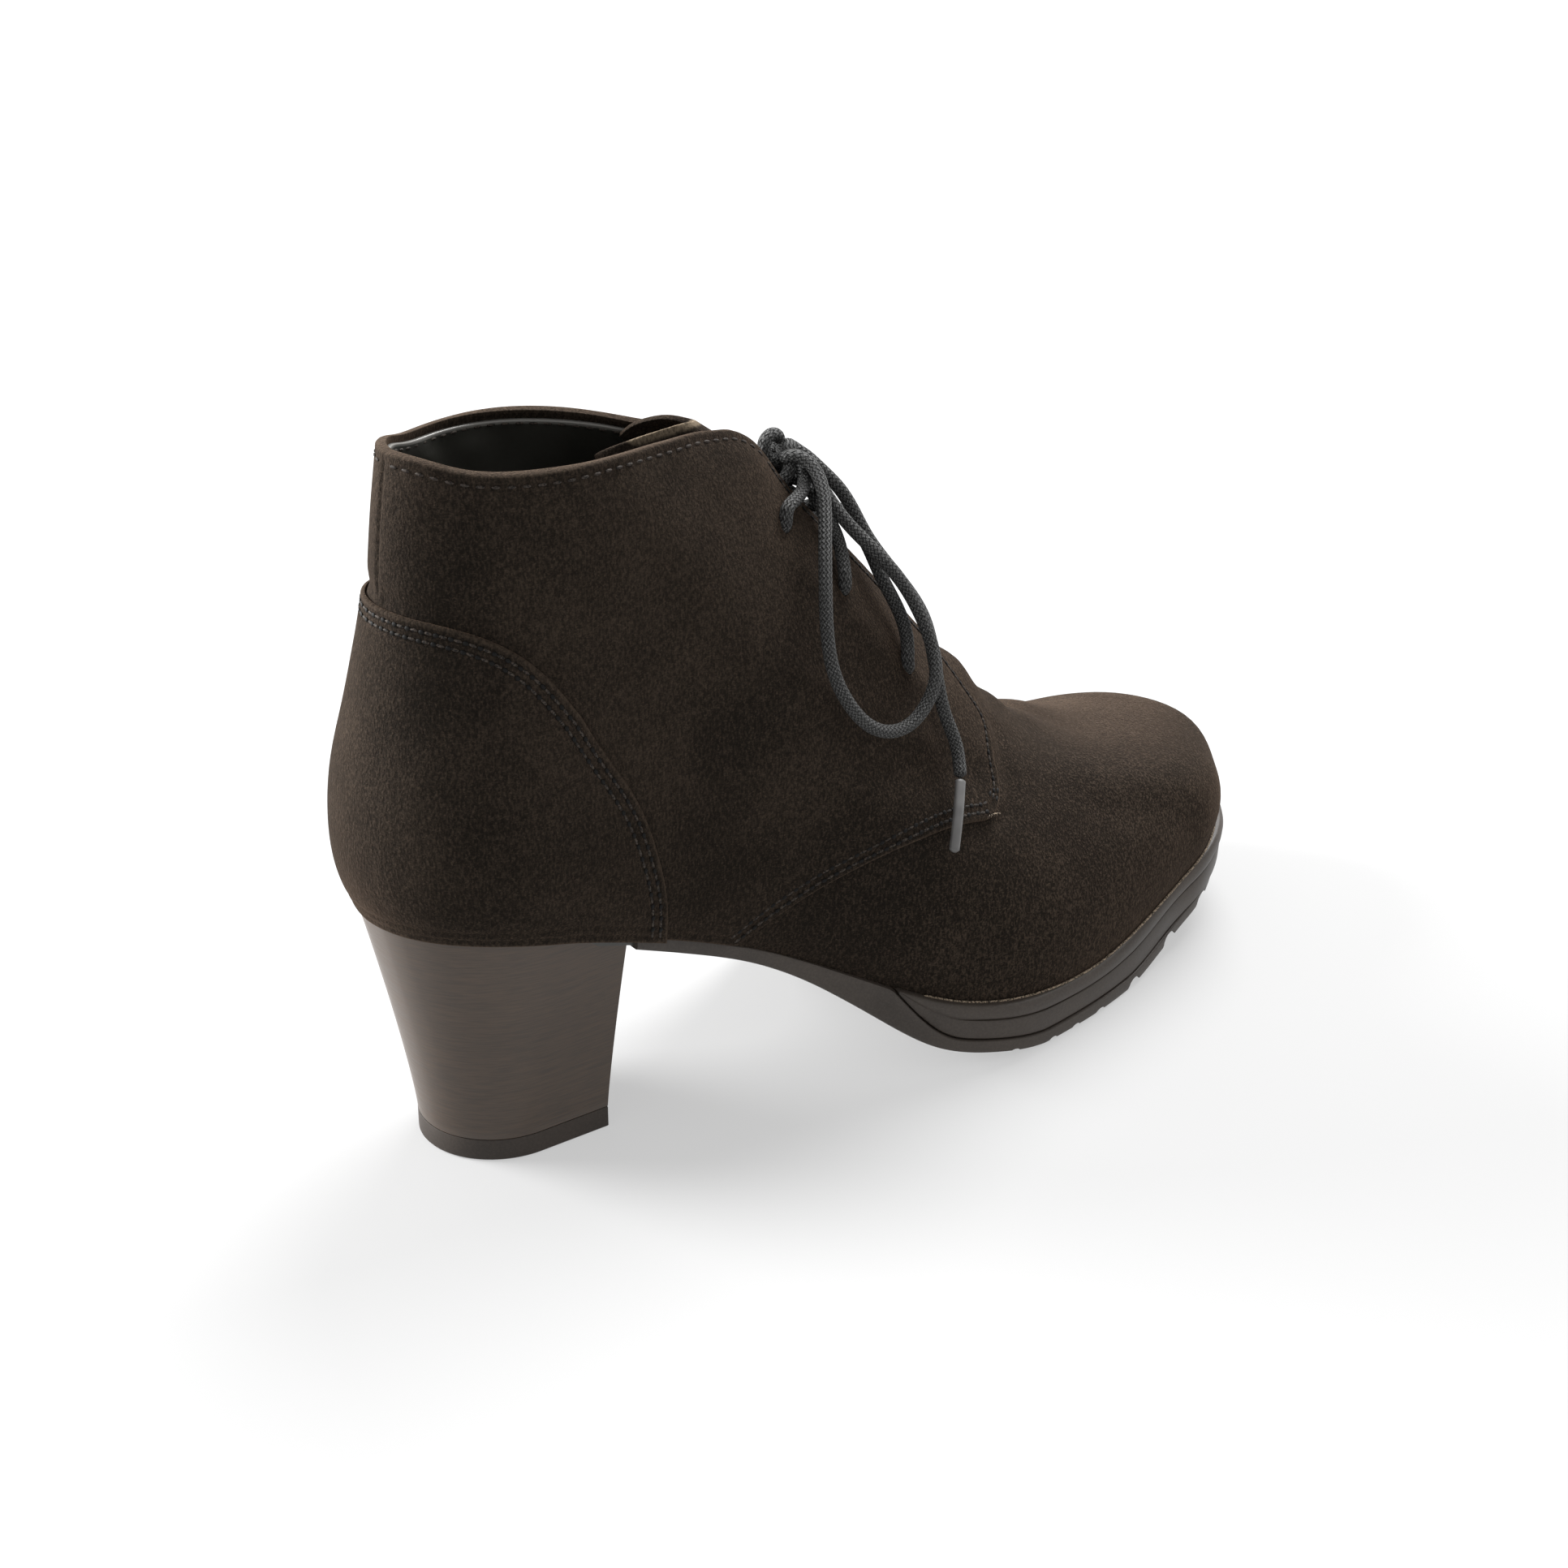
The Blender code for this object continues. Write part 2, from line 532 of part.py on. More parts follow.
def build_upper():
    levels = np.arange(0, COLLAR_LEVEL + LEVEL_STEP / 2, LEVEL_STEP)
    sheet = upper_sheet(np.sort(np.append(levels, THROAT_LEVEL - THROAT_FOOT_STEP)))
    upper = sheet_solid("upper", grown(sheet, -WALL), sheet, ((0.043, 0.027, 0.019), 0.9))
    middle = SIDE_POINTS - 1
    halves = {"lateral": slice(0, middle + 1), "medial": slice(middle, None)}
    under, over = grown(sheet, GAP), grown(sheet, GAP + PANEL)
    edge = curve_through(COUNTER_EDGE, COUNTER_EDGE_POINTS)
    seam = np.concatenate([curve_through(QUARTER_SEAM, SEAM_POINTS), curve_through(FLAP_FRONT, FLAP_POINTS)])
    above = [(CUT_FRONT_X, CUT_FRONT_Z), (CUT_FRONT_X, CUT_TOP_Z), (CUT_BACK_X, CUT_TOP_Z)]
    above.append((CUT_BACK_X, edge[0, 1]))
    beside = [(x + GAP, z + GAP) for x, z in edge]
    quarter_outline = beside + [QUARTER_FOOT] + [tuple(point) for point in seam] + above
    back_y = {"lateral": HEEL_AXIS_Y - GAP, "medial": HEEL_AXIS_Y + GAP}
    holes = bmesh.new()
    for name, side in (("lateral", -1), ("medial", 1)):
        half = halves[name]
        look = ((0.047, 0.030, 0.021), 0.9)
        quarter = sheet_solid(f"quarter_{name}", under[:, half], over[:, half], look)
        cutter = prism(f"quarter_cut_{name}", quarter_outline, back_y[name], side * PANEL_REACH)
        combine(quarter, cutter, "INTERSECT")
        for level, run in EYELETS:
            point, normal = front_point(level, side * run)
            turn = normal.to_track_quat("Z", "Y").to_matrix().to_4x4()
            bmesh.ops.create_cone(
                holes, cap_ends=True, segments=EYELET_SIDES, radius1=EYELET_RADIUS, radius2=EYELET_RADIUS,
                depth=4 * (WALL + PANEL), matrix=Matrix.Translation(point) @ turn,
            )
    hole_cutter = finish_mesh("eyelet_holes", holes, None, helper=True)
    for name in ("upper", "quarter_lateral", "quarter_medial"):
        combine(bpy.data.objects[name], hole_cutter, "DIFFERENCE")
    step = GAP + PANEL + COUNTER_STEP
    counter = sheet_solid("counter", under, grown(sheet, step), ((0.047, 0.030, 0.021), 0.9))
    outline = [tuple(point) for point in edge] + [(CUT_BACK_X, edge[-1, 1]), (CUT_BACK_X, edge[0, 1])]
    combine(counter, prism("counter_cut", outline, -PANEL_REACH, PANEL_REACH), "INTERSECT")


def build_tongue():
    inner, outer = [], []
    for rise in np.linspace(0, 1, TONGUE_ROWS):
        row = []
        for share in np.linspace(-1, 1, TONGUE_POINTS):
            top = TONGUE_TOP_LEVEL - TONGUE_TOP_DROP * abs(share) ** 3
            level = TONGUE_FOOT_LEVEL + (top - TONGUE_FOOT_LEVEL) * rise
            row.append(front_point(level, share * TONGUE_HALF_WIDTH))
        outer.append([point - normal * (WALL + TONGUE_GAP) for point, normal in row])
        inner.append([point - normal * (WALL + TONGUE_GAP + TONGUE_THICK) for point, normal in row])
    sheet_solid("tongue", np.array(inner), np.array(outer), ((0.040, 0.026, 0.019), 0.9))


def tube(bm, path, radius):
    """A capped tube of straight pieces along a path."""
    path = [Vector(point) for point in path]
    rings = []
    for k, point in enumerate(path):
        along = (path[min(k + 1, len(path) - 1)] - path[max(k - 1, 0)]).normalized()
        across = along.cross(Vector((1, 0, 0.4))).normalized()
        other = along.cross(across)
        turns = [2 * math.pi * n / LACE_SIDES for n in range(LACE_SIDES)]
        rim = [radius * (math.cos(a) * across + math.sin(a) * other) for a in turns]
        rings.append([bm.verts.new(point + out) for out in rim])
    for low, high in zip(rings, rings[1:]):
        for n in range(LACE_SIDES):
            bm.faces.new((low[n], low[n - 1], high[n - 1], high[n]))
    bm.faces.new(rings[0])
    bm.faces.new(rings[-1])


def lace_crossing(low_hole, high_hole, side):
    """Path over the facings and the throat from one side's hole to the next higher hole of the other side."""
    path = []
    for share in np.linspace(0, 1, BAR_POINTS):
        level = low_hole[0] + (high_hole[0] - low_hole[0]) * share
        run = low_hole[1] * (share - 1) + high_hole[1] * share
        point, normal = front_point(level, -side * run)
        path.append(point + normal * BAR_LIFT)
    return path


def top_bar():
    """Path across the throat between the top holes, rising under the knot."""
    level, run = EYELETS[-1]
    path = []
    for share in np.linspace(0, 1, BAR_POINTS):
        point, normal = front_point(level + TOP_BAR_RISE * math.sin(math.pi * share), run * (2 * share - 1))
        path.append(point + normal * BAR_LIFT)
    return path


def build_lace_bars():
    paths = [top_bar()]
    for low_hole, high_hole in zip(EYELETS, EYELETS[1:]):
        paths += [lace_crossing(low_hole, high_hole, side) for side in (-1, 1)]
    pieces = []
    for number, path in enumerate(paths):
        bm = bmesh.new()
        tube(bm, path, LACE_RADIUS)
        name = f"lace_bar_{number}" if number else "lace_bars"
        pieces.append(finish_mesh(name, bm, LACE_LOOK, helper=number > 0))
    for other in pieces[1:]:
        combine(pieces[0], other, "UNION")


def cord(name, route, radius, look, step=CORD_STEP):
    """A bevelled curve along the smooth curve through a route, with a point every few diameters."""
    route = np.asarray(route, float)
    length = np.linalg.norm(np.diff(route, axis=0), axis=1).sum()
    points = curve_through(route, max(3, round(length / (step * 2 * radius)) + 1))
    curve = bpy.data.curves.new(name, "CURVE")
    curve.dimensions = "3D"
    curve.bevel_depth = radius * MM
    curve.bevel_resolution = 2
    curve.use_fill_caps = True
    spline = curve.splines.new("POLY")
    spline.points.add(len(points) - 1)
    for slot, point in zip(spline.points, points):
        slot.co = (*(point * MM), 1)
    add_object(name, curve, look)


def mirrored(route):
    return [(x, 2 * LACE_MIDDLE_Y - y, z) for x, y, z in route]


def build_bow():
    seat, up = front_point(KNOT_LEVEL, 0.0)
    middle = seat + up * (KNOT_CLEAR + LACE_RADIUS + KNOT_RADIUS)
    across = Vector((0, 1, 0))
    along = across.cross(up)
    wound = []
    for share in np.linspace(0, 1, KNOT_POINTS):
        turn = 2 * math.pi * KNOT_TURNS * (share - 0.5)
        ring = KNOT_RADIUS * (math.cos(turn) * up + math.sin(turn) * along)
        wound.append(middle + ring + across * KNOT_RISE * (share - 0.5))
    cord("lace_knot", wound, LACE_RADIUS, LACE_LOOK, KNOT_STEP)
    for name, side, flip in (("lateral", -1, list), ("medial", 1, mirrored)):
        beside = across * side * LOOP_BESIDE
        ordered = wound if side < 0 else wound[::-1]
        cord(f"lace_loop_{name}", [ordered[0] + beside] + flip(LOOP_ROUTE), LACE_RADIUS, LACE_LOOK)
        cord(f"lace_end_{name}", flip(END_ROUTE), LACE_RADIUS, LACE_LOOK)
        cord(f"aglet_{name}", flip(AGLET_ROUTE), AGLET_RADIUS, AGLET_LOOK)


def main():
    for thing in list(bpy.data.objects):
        bpy.data.objects.remove(thing)
    boot = bpy.data.objects.new("boot", None)
    boot.location = (-BOX_MIDDLE[0] * MM, -BOX_MIDDLE[1] * MM, 0)
    bpy.context.scene.collection.objects.link(boot)
    build_outsole()
    build_platform()
    build_heel()
    build_insole()
    build_upper()
    build_tongue()
    build_lace_bars()
    build_bow()


main()
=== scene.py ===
# Heeled suede ankle boot, right foot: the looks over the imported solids.
# Shapes are worked out in millimetres in the last's own coordinates, then moved into the frame, in metres.
import math

import bmesh
import bpy
import numpy as np
from mathutils import Matrix, Vector


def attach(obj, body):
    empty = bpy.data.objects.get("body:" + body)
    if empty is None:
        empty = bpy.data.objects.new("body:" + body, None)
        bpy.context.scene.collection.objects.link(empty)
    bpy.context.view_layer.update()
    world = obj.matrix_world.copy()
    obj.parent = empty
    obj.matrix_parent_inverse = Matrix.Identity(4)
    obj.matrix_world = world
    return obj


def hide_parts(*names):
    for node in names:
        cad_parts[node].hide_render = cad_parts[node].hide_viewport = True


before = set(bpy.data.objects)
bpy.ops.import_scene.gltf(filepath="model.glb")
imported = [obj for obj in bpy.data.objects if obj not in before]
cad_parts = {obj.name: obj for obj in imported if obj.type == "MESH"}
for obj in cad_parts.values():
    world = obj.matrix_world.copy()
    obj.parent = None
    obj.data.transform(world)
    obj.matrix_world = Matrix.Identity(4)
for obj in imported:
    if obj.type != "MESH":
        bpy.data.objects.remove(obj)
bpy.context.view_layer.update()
mm = 0.001  # the frame is in metres
print("frame loaded,", len(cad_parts), "solids")


def aim(thing, place, target):  # puts a camera or a light at a place, looking at a target
    thing.location = place
    thing.rotation_euler = (Vector(target) - Vector(place)).to_track_quat("-Z", "Y").to_euler()
    bpy.context.scene.collection.objects.link(thing)


view = {
    "position": (-0.40029, -0.53523, 0.39673), "target": (-0.01491, -0.00286, 0.06475),
    "lens": 74.706, "sensor": 36.0,
}
cameraData = bpy.data.cameras.new("photoCamera")
cameraData.lens, cameraData.sensor_width = view["lens"], view["sensor"]
camera = bpy.data.objects.new("photoCamera", cameraData)
aim(camera, view["position"], view["target"])
bpy.context.scene.camera = camera
bpy.context.scene.view_settings.view_transform = "Standard"

lastShape = {
    "length": 246.0, "ballHalf": 44.0, "collar": 164.0, "seat": 61.0,
    "middle": (-0.98, -0.02, 0.0),  # of the boot's box, over the frame's origin
    # a row for each level from the feather line up to the collar: x and height at the back and the front,
    # sag, half-widths at heel, waist, ball and toe, roundings
    "rows": (
        (-0.476, 0.372, 0.486, 0.134, 0.402, 0.614, 0.615, 0.814, 0.769, 30, 30),
        (-0.488, 0.424, 0.495, 0.180, 0.385, 0.666, 0.674, 0.851, 0.802, 30, 30),
        (-0.492, 0.488, 0.482, 0.232, 0.328, 0.682, 0.685, 0.838, 0.774, 30, 30),
        (-0.489, 0.564, 0.437, 0.271, 0.254, 0.666, 0.674, 0.790, 0.669, 30, 31),
        (-0.480, 0.640, 0.341, 0.307, 0.164, 0.636, 0.660, 0.742, 0.542, 32, 33),
        (-0.470, 0.723, 0.217, 0.378, 0.082, 0.602, 0.640, 0.691, 0.472, 36, 33),
        (-0.459, 0.805, 0.098, 0.558, 0.016, 0.568, 0.609, 0.636, 0.424, 40, 30),
        (-0.450, 0.896, -0.016, 0.762, 0.008, 0.545, 0.568, 0.555, 0.353, 44, 26),
        (-0.441, 1.000, -0.134, 0.948, 0.016, 0.511, 0.517, 0.463, 0.271, 46, 19),
    ),
    "stations": (0.0, 0.18, 0.40, 0.513, 0.86, 1.0),
    "heelEnd": 0.96, "toeEnd": 0.78, "dip": (1.35, 1.8),
    "centreX": (-125.0, -70.0, -20.0, 30.0, 75.0, 110.0, 126.0),
    "centreY": (4.0, 4.0, 1.0, -0.5, 3.0, 9.5, 13.0),
    "lean": (0.052, 0.40, 0.954), "throat": 6.0,
    "lowest": -0.4, "step": 0.1, "highest": 8.95, "ringCount": 320,
}


def naturalSpline(knots, values):
    x, y = np.asarray(knots, float), np.asarray(values, float)
    h, count = np.diff(x), len(x)
    system, wanted = np.eye(count), np.zeros_like(y)
    for i in range(1, count - 1):
        system[i, i - 1 : i + 2] = h[i - 1], 2 * (h[i - 1] + h[i]), h[i]
        wanted[i] = 6 * ((y[i + 1] - y[i]) / h[i] - (y[i] - y[i - 1]) / h[i - 1])
    bend = np.linalg.solve(system, wanted)

    def at(t):
        t = np.asarray(t, float)
        i = np.clip(np.searchsorted(x, t) - 1, 0, count - 2)
        span, left, right = h[i], t - x[i], x[i + 1] - t
        if y.ndim > 1:
            span, left, right = span[..., None], left[..., None], right[..., None]
        cubic = (bend[i] * right**3 + bend[i + 1] * left**3) / (6 * span)
        return (cubic + (y[i] / span - bend[i] * span / 6) * right
                + (y[i + 1] / span - bend[i + 1] * span / 6) * left)

    return at


def runsOf(points):
    return np.concatenate([[0], np.cumsum(np.linalg.norm(np.diff(points, axis=0), axis=1))])


def between(rows, at, want):  # rows of values at rising places, read off where wanted
    return np.stack([np.interp(want, at, column) for column in rows.T], axis=-1)


def evenRun(points, count):
    runs = runsOf(points)
    return between(points, runs, np.linspace(0, runs[-1], count))


rowUnits = np.array([lastShape["length"], lastShape["collar"]] * 2 + [lastShape["seat"]]
                    + [lastShape["ballHalf"]] * 4 + [1, 1])
rowAt = naturalSpline(range(len(lastShape["rows"])), np.array(lastShape["rows"]) * rowUnits)
centreY = naturalSpline(lastShape["centreX"], lastShape["centreY"])


def ringSide(level, side, dense=240):
    backX, backZ, frontX, frontZ, sag, heel, waist, ball, toe, backRound, frontRound = rowAt(level)
    span = frontX - backX
    u = (1 - np.cos(np.linspace(0, np.pi, dense))) / 2
    x = backX + span * u
    skew, power = lastShape["dip"]
    z = backZ + (frontZ - backZ) * u - sag * np.sin(np.pi * np.clip(u, 0, 1) ** skew) ** power
    widths = (lastShape["heelEnd"] * heel, heel, waist, ball, toe, lastShape["toeEnd"] * toe)
    half = naturalSpline(lastShape["stations"], widths)(u)
    back = np.clip(1 - u * span / backRound, 0, 1)
    front = np.clip(1 - (1 - u) * span / frontRound, 0, 1)
    lean, leanFrom, leanTo = lastShape["lean"]
    swing = np.sin(2 * np.pi * (u - leanFrom) / (leanTo - leanFrom)) * ((u > leanFrom) & (u < leanTo))
    lean = lean * swing * np.clip(1 - level / lastShape["throat"], 0, 1)
    half = half * np.sqrt(1 - back**2) * np.sqrt(1 - front**2) * (1 - side * lean)
    return np.stack([x, centreY(x) + side * half, z], axis=1)


lastLevels = np.arange(lastShape["lowest"], lastShape["highest"], lastShape["step"])
ringCount = lastShape["ringCount"]
ringHalf = ringCount // 2
lastSides = [(ringSide(level, -1), ringSide(level, 1)) for level in lastLevels]
sideRuns = np.array([[runsOf(side)[-1] for side in sides] for sides in lastSides])
lastGrid = np.array([np.concatenate([evenRun(lateral, ringHalf + 1), evenRun(medial, ringHalf + 1)[-2:0:-1]])
                     for lateral, medial in lastSides])


def pulls(t):  # shares of four neighbours in a smooth curve through the middle two
    return ((-t + 2 * t**2 - t**3) / 2, (2 - 5 * t**2 + 3 * t**3) / 2,
            (t + 4 * t**2 - 3 * t**3) / 2, (t**3 - t**2) / 2)


def lastAt(g, v):  # the last's surface at ring shares (0 back, 1 ridge, on to 2) and levels
    g, v = np.broadcast_arrays(np.asarray(g, float), np.asarray(v, float))
    across = (g % 2) * ringHalf
    up = np.clip((v - lastShape["lowest"]) / lastShape["step"], 1, len(lastGrid) - 2.001)
    i, j = np.floor(across).astype(int), np.floor(up).astype(int)
    acrossPulls, upPulls = pulls(across - i), pulls(up - j)
    point = np.zeros(g.shape + (3,))
    for m in range(4):
        for n in range(4):
            point += (upPulls[m] * acrossPulls[n])[..., None] * lastGrid[j + m - 1, (i + n - 1) % ringCount]
    return point


def lastSlopes(g, v, step=0.02):
    along = (lastAt(g + step / 2, v) - lastAt(g - step / 2, v)) / step
    up = (lastAt(g, v + step) - lastAt(g, v - step)) / (2 * step)
    return along, up


def skinAt(g, v, lift):  # lifted off the last along its normal
    g, v = np.broadcast_arrays(np.asarray(g, float), np.asarray(v, float))
    normal = np.cross(*lastSlopes(g, v))
    normal /= np.linalg.norm(normal, axis=-1, keepdims=True)
    return lastAt(g, v) + normal * np.broadcast_to(lift, g.shape)[..., None]


def shareAt(level, run):  # ring share at a run from the ridge, the medial side positive
    lateral, medial = (np.interp(level, lastLevels, column) for column in sideRuns.T)
    return 1 + np.asarray(run) / np.where(np.asarray(run) > 0, medial, lateral)


def unit(vectors):
    return vectors / np.linalg.norm(vectors, axis=-1, keepdims=True)


def lineThrough(points, count=200):  # smooth even line through a few points
    points = np.asarray(points, float)
    runs = runsOf(points)
    return evenRun(naturalSpline(runs, points)(np.linspace(0, runs[-1], 4 * count)), count)


print("last ready,", lastGrid.shape, "points")


# Shader maths on sockets
class Shade:
    def __init__(self, tree, socket=None):
        self.tree, self.socket = tree, socket

    def node(self, kind, settings, values, output=0):  # any node: settings first, then its sockets
        made = self.tree.nodes.new("ShaderNode" + kind)
        for name, value in settings.items():
            setattr(made, name, value)
        for name, value in values.items():
            if isinstance(value, Shade):
                self.tree.links.new(value.socket, made.inputs[name])
            else:
                made.inputs[name].default_value = value
        return Shade(self.tree, made.outputs[output])

    def maths(self, operation, first, second=0.0):
        return self.node("Math", {"operation": operation}, {0: first, 1: second})

    def __add__(self, other):
        return self.maths("ADD", self, other)

    def __sub__(self, other):
        return self.maths("SUBTRACT", self, other)

    def __rsub__(self, other):
        return self.maths("SUBTRACT", other, self)

    def __mul__(self, other):
        return self.maths("MULTIPLY", self, other)

    __radd__, __rmul__ = __add__, __mul__

    def band(self, low, high, fromValue=0.0, toValue=1.0):  # smooth and clamped
        return self.node("MapRange", {"interpolation_type": "SMOOTHSTEP"},
                         {0: self, 1: low, 2: high, 3: fromValue, 4: toValue})

    def mix(self, first, second):  # this value as the share of the second colour
        return self.node("Mix", {"data_type": "RGBA"}, {0: self, 6: first, 7: second}, 2)

    def noise(self, vector, scale, detail=2.0, roughness=0.5):
        return self.node("TexNoise", {}, {"Vector": vector, "Scale": scale, "Detail": detail,
                                          "Roughness": roughness})

    def stretched(self, vector, sizes):
        return self.node("VectorMath", {"operation": "MULTIPLY"}, {0: vector, 1: sizes})

    def place(self):
        return self.node("TexCoord", {}, {}, "Object")

    def edgeGap(self):  # distance from a panel's edge, kept in its mesh
        return self.node("Attribute", {"attribute_name": "edgeGap"}, {}, "Fac")

    def bump(self, strength, distance, height):
        return self.node("Bump", {}, {"Strength": strength, "Distance": distance, "Height": height})


def newLook(name, fixed):  # material, its shade helper and its shader with fixed sockets
    material = bpy.data.materials.new(name)
    material.use_nodes = True
    shader = material.node_tree.nodes["Principled BSDF"]
    for socket, value in fixed.items():
        shader.inputs[socket].default_value = value
    return material, Shade(material.node_tree), shader


def wire(shade, shader, links):
    for socket, value in links.items():
        shade.tree.links.new(value.socket, shader.inputs[socket])


suedeSettings = {
    "dark": (0.0080, 0.0064, 0.0049, 1), "light": (0.0455, 0.0335, 0.0247, 1),
    "edge": (0.060, 0.044, 0.032, 1), "worn": 0.4,
    "patch": 24.0, "blotch": 120.0, "fibre": 1900.0, "bump": 0.0006,
    "finer": (-0.06, 0.07, 0.8, 1.6),  # the nap stands up more from the ankle to the toe
}
tongueEdge = {"edge": (0.19, 0.15, 0.106, 1), "worn": 0.85}


def suedeLook(name, settings):
    material, shade, shader = newLook(name, {
        "Roughness": 0.95, "Specular IOR Level": 0.06, "Sheen Weight": 0.115, "Sheen Roughness": 0.38,
        "Sheen Tint": (0.70, 0.45, 0.30, 1)})
    place = shade.place()
    patch = shade.noise(place, settings["patch"], 3.0, 0.55).band(0.36, 0.66)
    blotch = shade.noise(place, settings["blotch"], 3.0, 0.6).band(0.3, 0.7)
    fibre = shade.noise(shade.stretched(place, (1.0, 1.0, 0.45)), settings["fibre"], 3.0, 0.65)
    hair = shade.noise(shade.stretched(place, (0.5, 0.5, 1.0)), settings["fibre"] * 1.7, 2.0, 0.7)
    finer = shade.node("SeparateXYZ", {}, {"Vector": place}).band(*settings["finer"])
    strands = (fibre.band(0.36, 0.68) + hair.band(0.46, 0.74) - 0.75) * finer
    nap = patch * 0.2 + blotch * 0.08 + strands * 0.45 + 0.24
    colour = nap.band(0.0, 1.0).mix(settings["dark"], settings["light"])
    worn = shade.edgeGap().band(0.55, 1.1, 1.0, 0.0)
    colour = (worn * fibre.band(0.3, 0.6, 0.3, 1.0) * settings["worn"]).mix(colour, settings["edge"])
    height = fibre * 0.7 + hair * 0.45 + blotch * 0.3
    bump = shade.bump(0.75, settings["bump"], height)
    wire(shade, shader, {"Base Color": colour, "Normal": bump})
    return material


suede = suedeLook("suede", suedeSettings)
tongueSuede = suedeLook("tongueSuede", suedeSettings | tongueEdge)


def liningLook():
    material, shade, shader = newLook("liningLeather", {"Specular IOR Level": 0.45, "Coat Weight": 0.12})
    place = shade.place()
    grain = shade.noise(place, 900.0, 3.0, 0.6)
    soft = shade.noise(place, 40.0, 2.0)
    tone = soft.band(0.3, 0.7) * 0.6 + grain * 0.3
    colour = tone.mix((0.018, 0.018, 0.015, 1), (0.036, 0.035, 0.030, 1))
    rim = shade.edgeGap().band(0.3, 0.5, 1.0, 0.0)
    colour = (rim * 0.8).mix(colour, (0.17, 0.163, 0.15, 1))
    bump = shade.bump(0.25, 0.0002, grain)
    wire(shade, shader, {"Base Color": colour, "Normal": bump,
                         "Roughness": soft.band(0.3, 0.7, 0.32, 0.44)})
    return material


lining = liningLook()


def rubberLook(name, dark, light, rough):
    material, shade, shader = newLook(name, {"Specular IOR Level": 0.34})
    place = shade.place()
    soft = shade.noise(place, 55.0, 3.0)
    fine = shade.noise(place, 1800.0, 2.0, 0.6)
    colour = (soft.band(0.3, 0.7) * 0.55 + fine.band(0.35, 0.7) * 0.35).mix(dark, light)
    bump = shade.bump(0.2, 0.00015, fine + soft)
    wire(shade, shader, {"Base Color": colour, "Normal": bump,
                         "Roughness": soft.band(0.3, 0.7, rough - 0.06, rough + 0.06)})
    return material


soleRubber = rubberLook("soleRubber", (0.028, 0.0220, 0.0175, 1), (0.058, 0.0465, 0.0380, 1), 0.48)
heelRubber = rubberLook("heelRubber", (0.019, 0.0140, 0.0106, 1), (0.039, 0.0295, 0.0230, 1), 0.56)


def heelLook():
    material, shade, shader = newLook("heelStack", {
        "Specular IOR Level": 0.38, "Coat Weight": 0.4, "Coat Roughness": 0.28,
        "Coat Tint": (1.0, 0.92, 0.85, 1)})
    place = shade.place()
    grain = shade.noise(shade.stretched(place, (0.06, 0.06, 1.0)), 2700.0, 3.0, 0.6)
    layer = shade.noise(shade.stretched(place, (0.02, 0.02, 1.0)), 380.0, 1.0)
    soft = shade.noise(place, 45.0, 2.0)
    tone = layer.band(0.35, 0.65) * 0.05 + grain.band(0.3, 0.7) * 0.46 + soft * 0.2 + 0.09
    colour = tone.mix((0.0150, 0.0092, 0.0054, 1), (0.060, 0.0375, 0.0218, 1))
    bump = shade.bump(0.18, 0.0002, grain + layer * 0.3)
    wire(shade, shader, {"Base Color": colour, "Normal": bump,
                         "Roughness": grain.band(0.3, 0.7, 0.35, 0.46)})
    return material


heelStack = heelLook()


def laceLook():
    material, shade, shader = newLook("laceBraid", {"Specular IOR Level": 0.35})
    place = shade.node("UVMap", {}, {})
    parts = shade.node("SeparateXYZ", {}, {"Vector": place})
    around, along = parts, Shade(shade.tree, parts.socket.node.outputs[1])
    first, second = around * 10.0 + along * 0.8, around * 10.0 - along * 0.8
    firstCell, secondCell = shade.maths("FLOOR", first), shade.maths("FLOOR", second)
    over = shade.maths("PINGPONG", firstCell + secondCell, 1.0)  # which strand lies on top
    firstRound = shade.maths("SINE", (first - firstCell) * math.pi)
    secondRound = shade.maths("SINE", (second - secondCell) * math.pi)
    strand = firstRound * over + secondRound * (1 - over)
    fleck = shade.noise(shade.stretched(place, (90.0, 2.2, 1.0)), 1.0, 3.0, 0.7)
    tone = strand.band(0.35, 0.95) * 0.55 + fleck.band(0.44, 0.64) * 0.75 - 0.38
    colour = tone.band(0.0, 1.0).mix((0.004, 0.004, 0.0038, 1), (0.165, 0.164, 0.160, 1))
    bump = shade.bump(1.0, 0.0004, strand + fleck * 0.4)
    wire(shade, shader, {"Base Color": colour, "Normal": bump,
                         "Roughness": fleck.band(0.3, 0.7, 0.55, 0.75)})
    return material


laceBraid = laceLook()


def agletLook():
    material, shade, shader = newLook("agletFilm", {"Specular IOR Level": 0.5})
    place = shade.place()
    soft = shade.noise(place, 160.0, 2.0)
    colour = soft.band(0.3, 0.7).mix((0.075, 0.073, 0.072, 1), (0.115, 0.112, 0.11, 1))
    wire(shade, shader, {"Base Color": colour, "Roughness": soft.band(0.3, 0.7, 0.3, 0.45)})
    return material


agletFilm = agletLook()


def threadLook(name, dark, light):
    material, shade, shader = newLook(name, {"Roughness": 0.7, "Specular IOR Level": 0.2})
    place = shade.place()
    colour = shade.noise(place, 2600.0, 2.0).band(0.35, 0.65).mix(dark, light)
    wire(shade, shader, {"Base Color": colour})
    return material


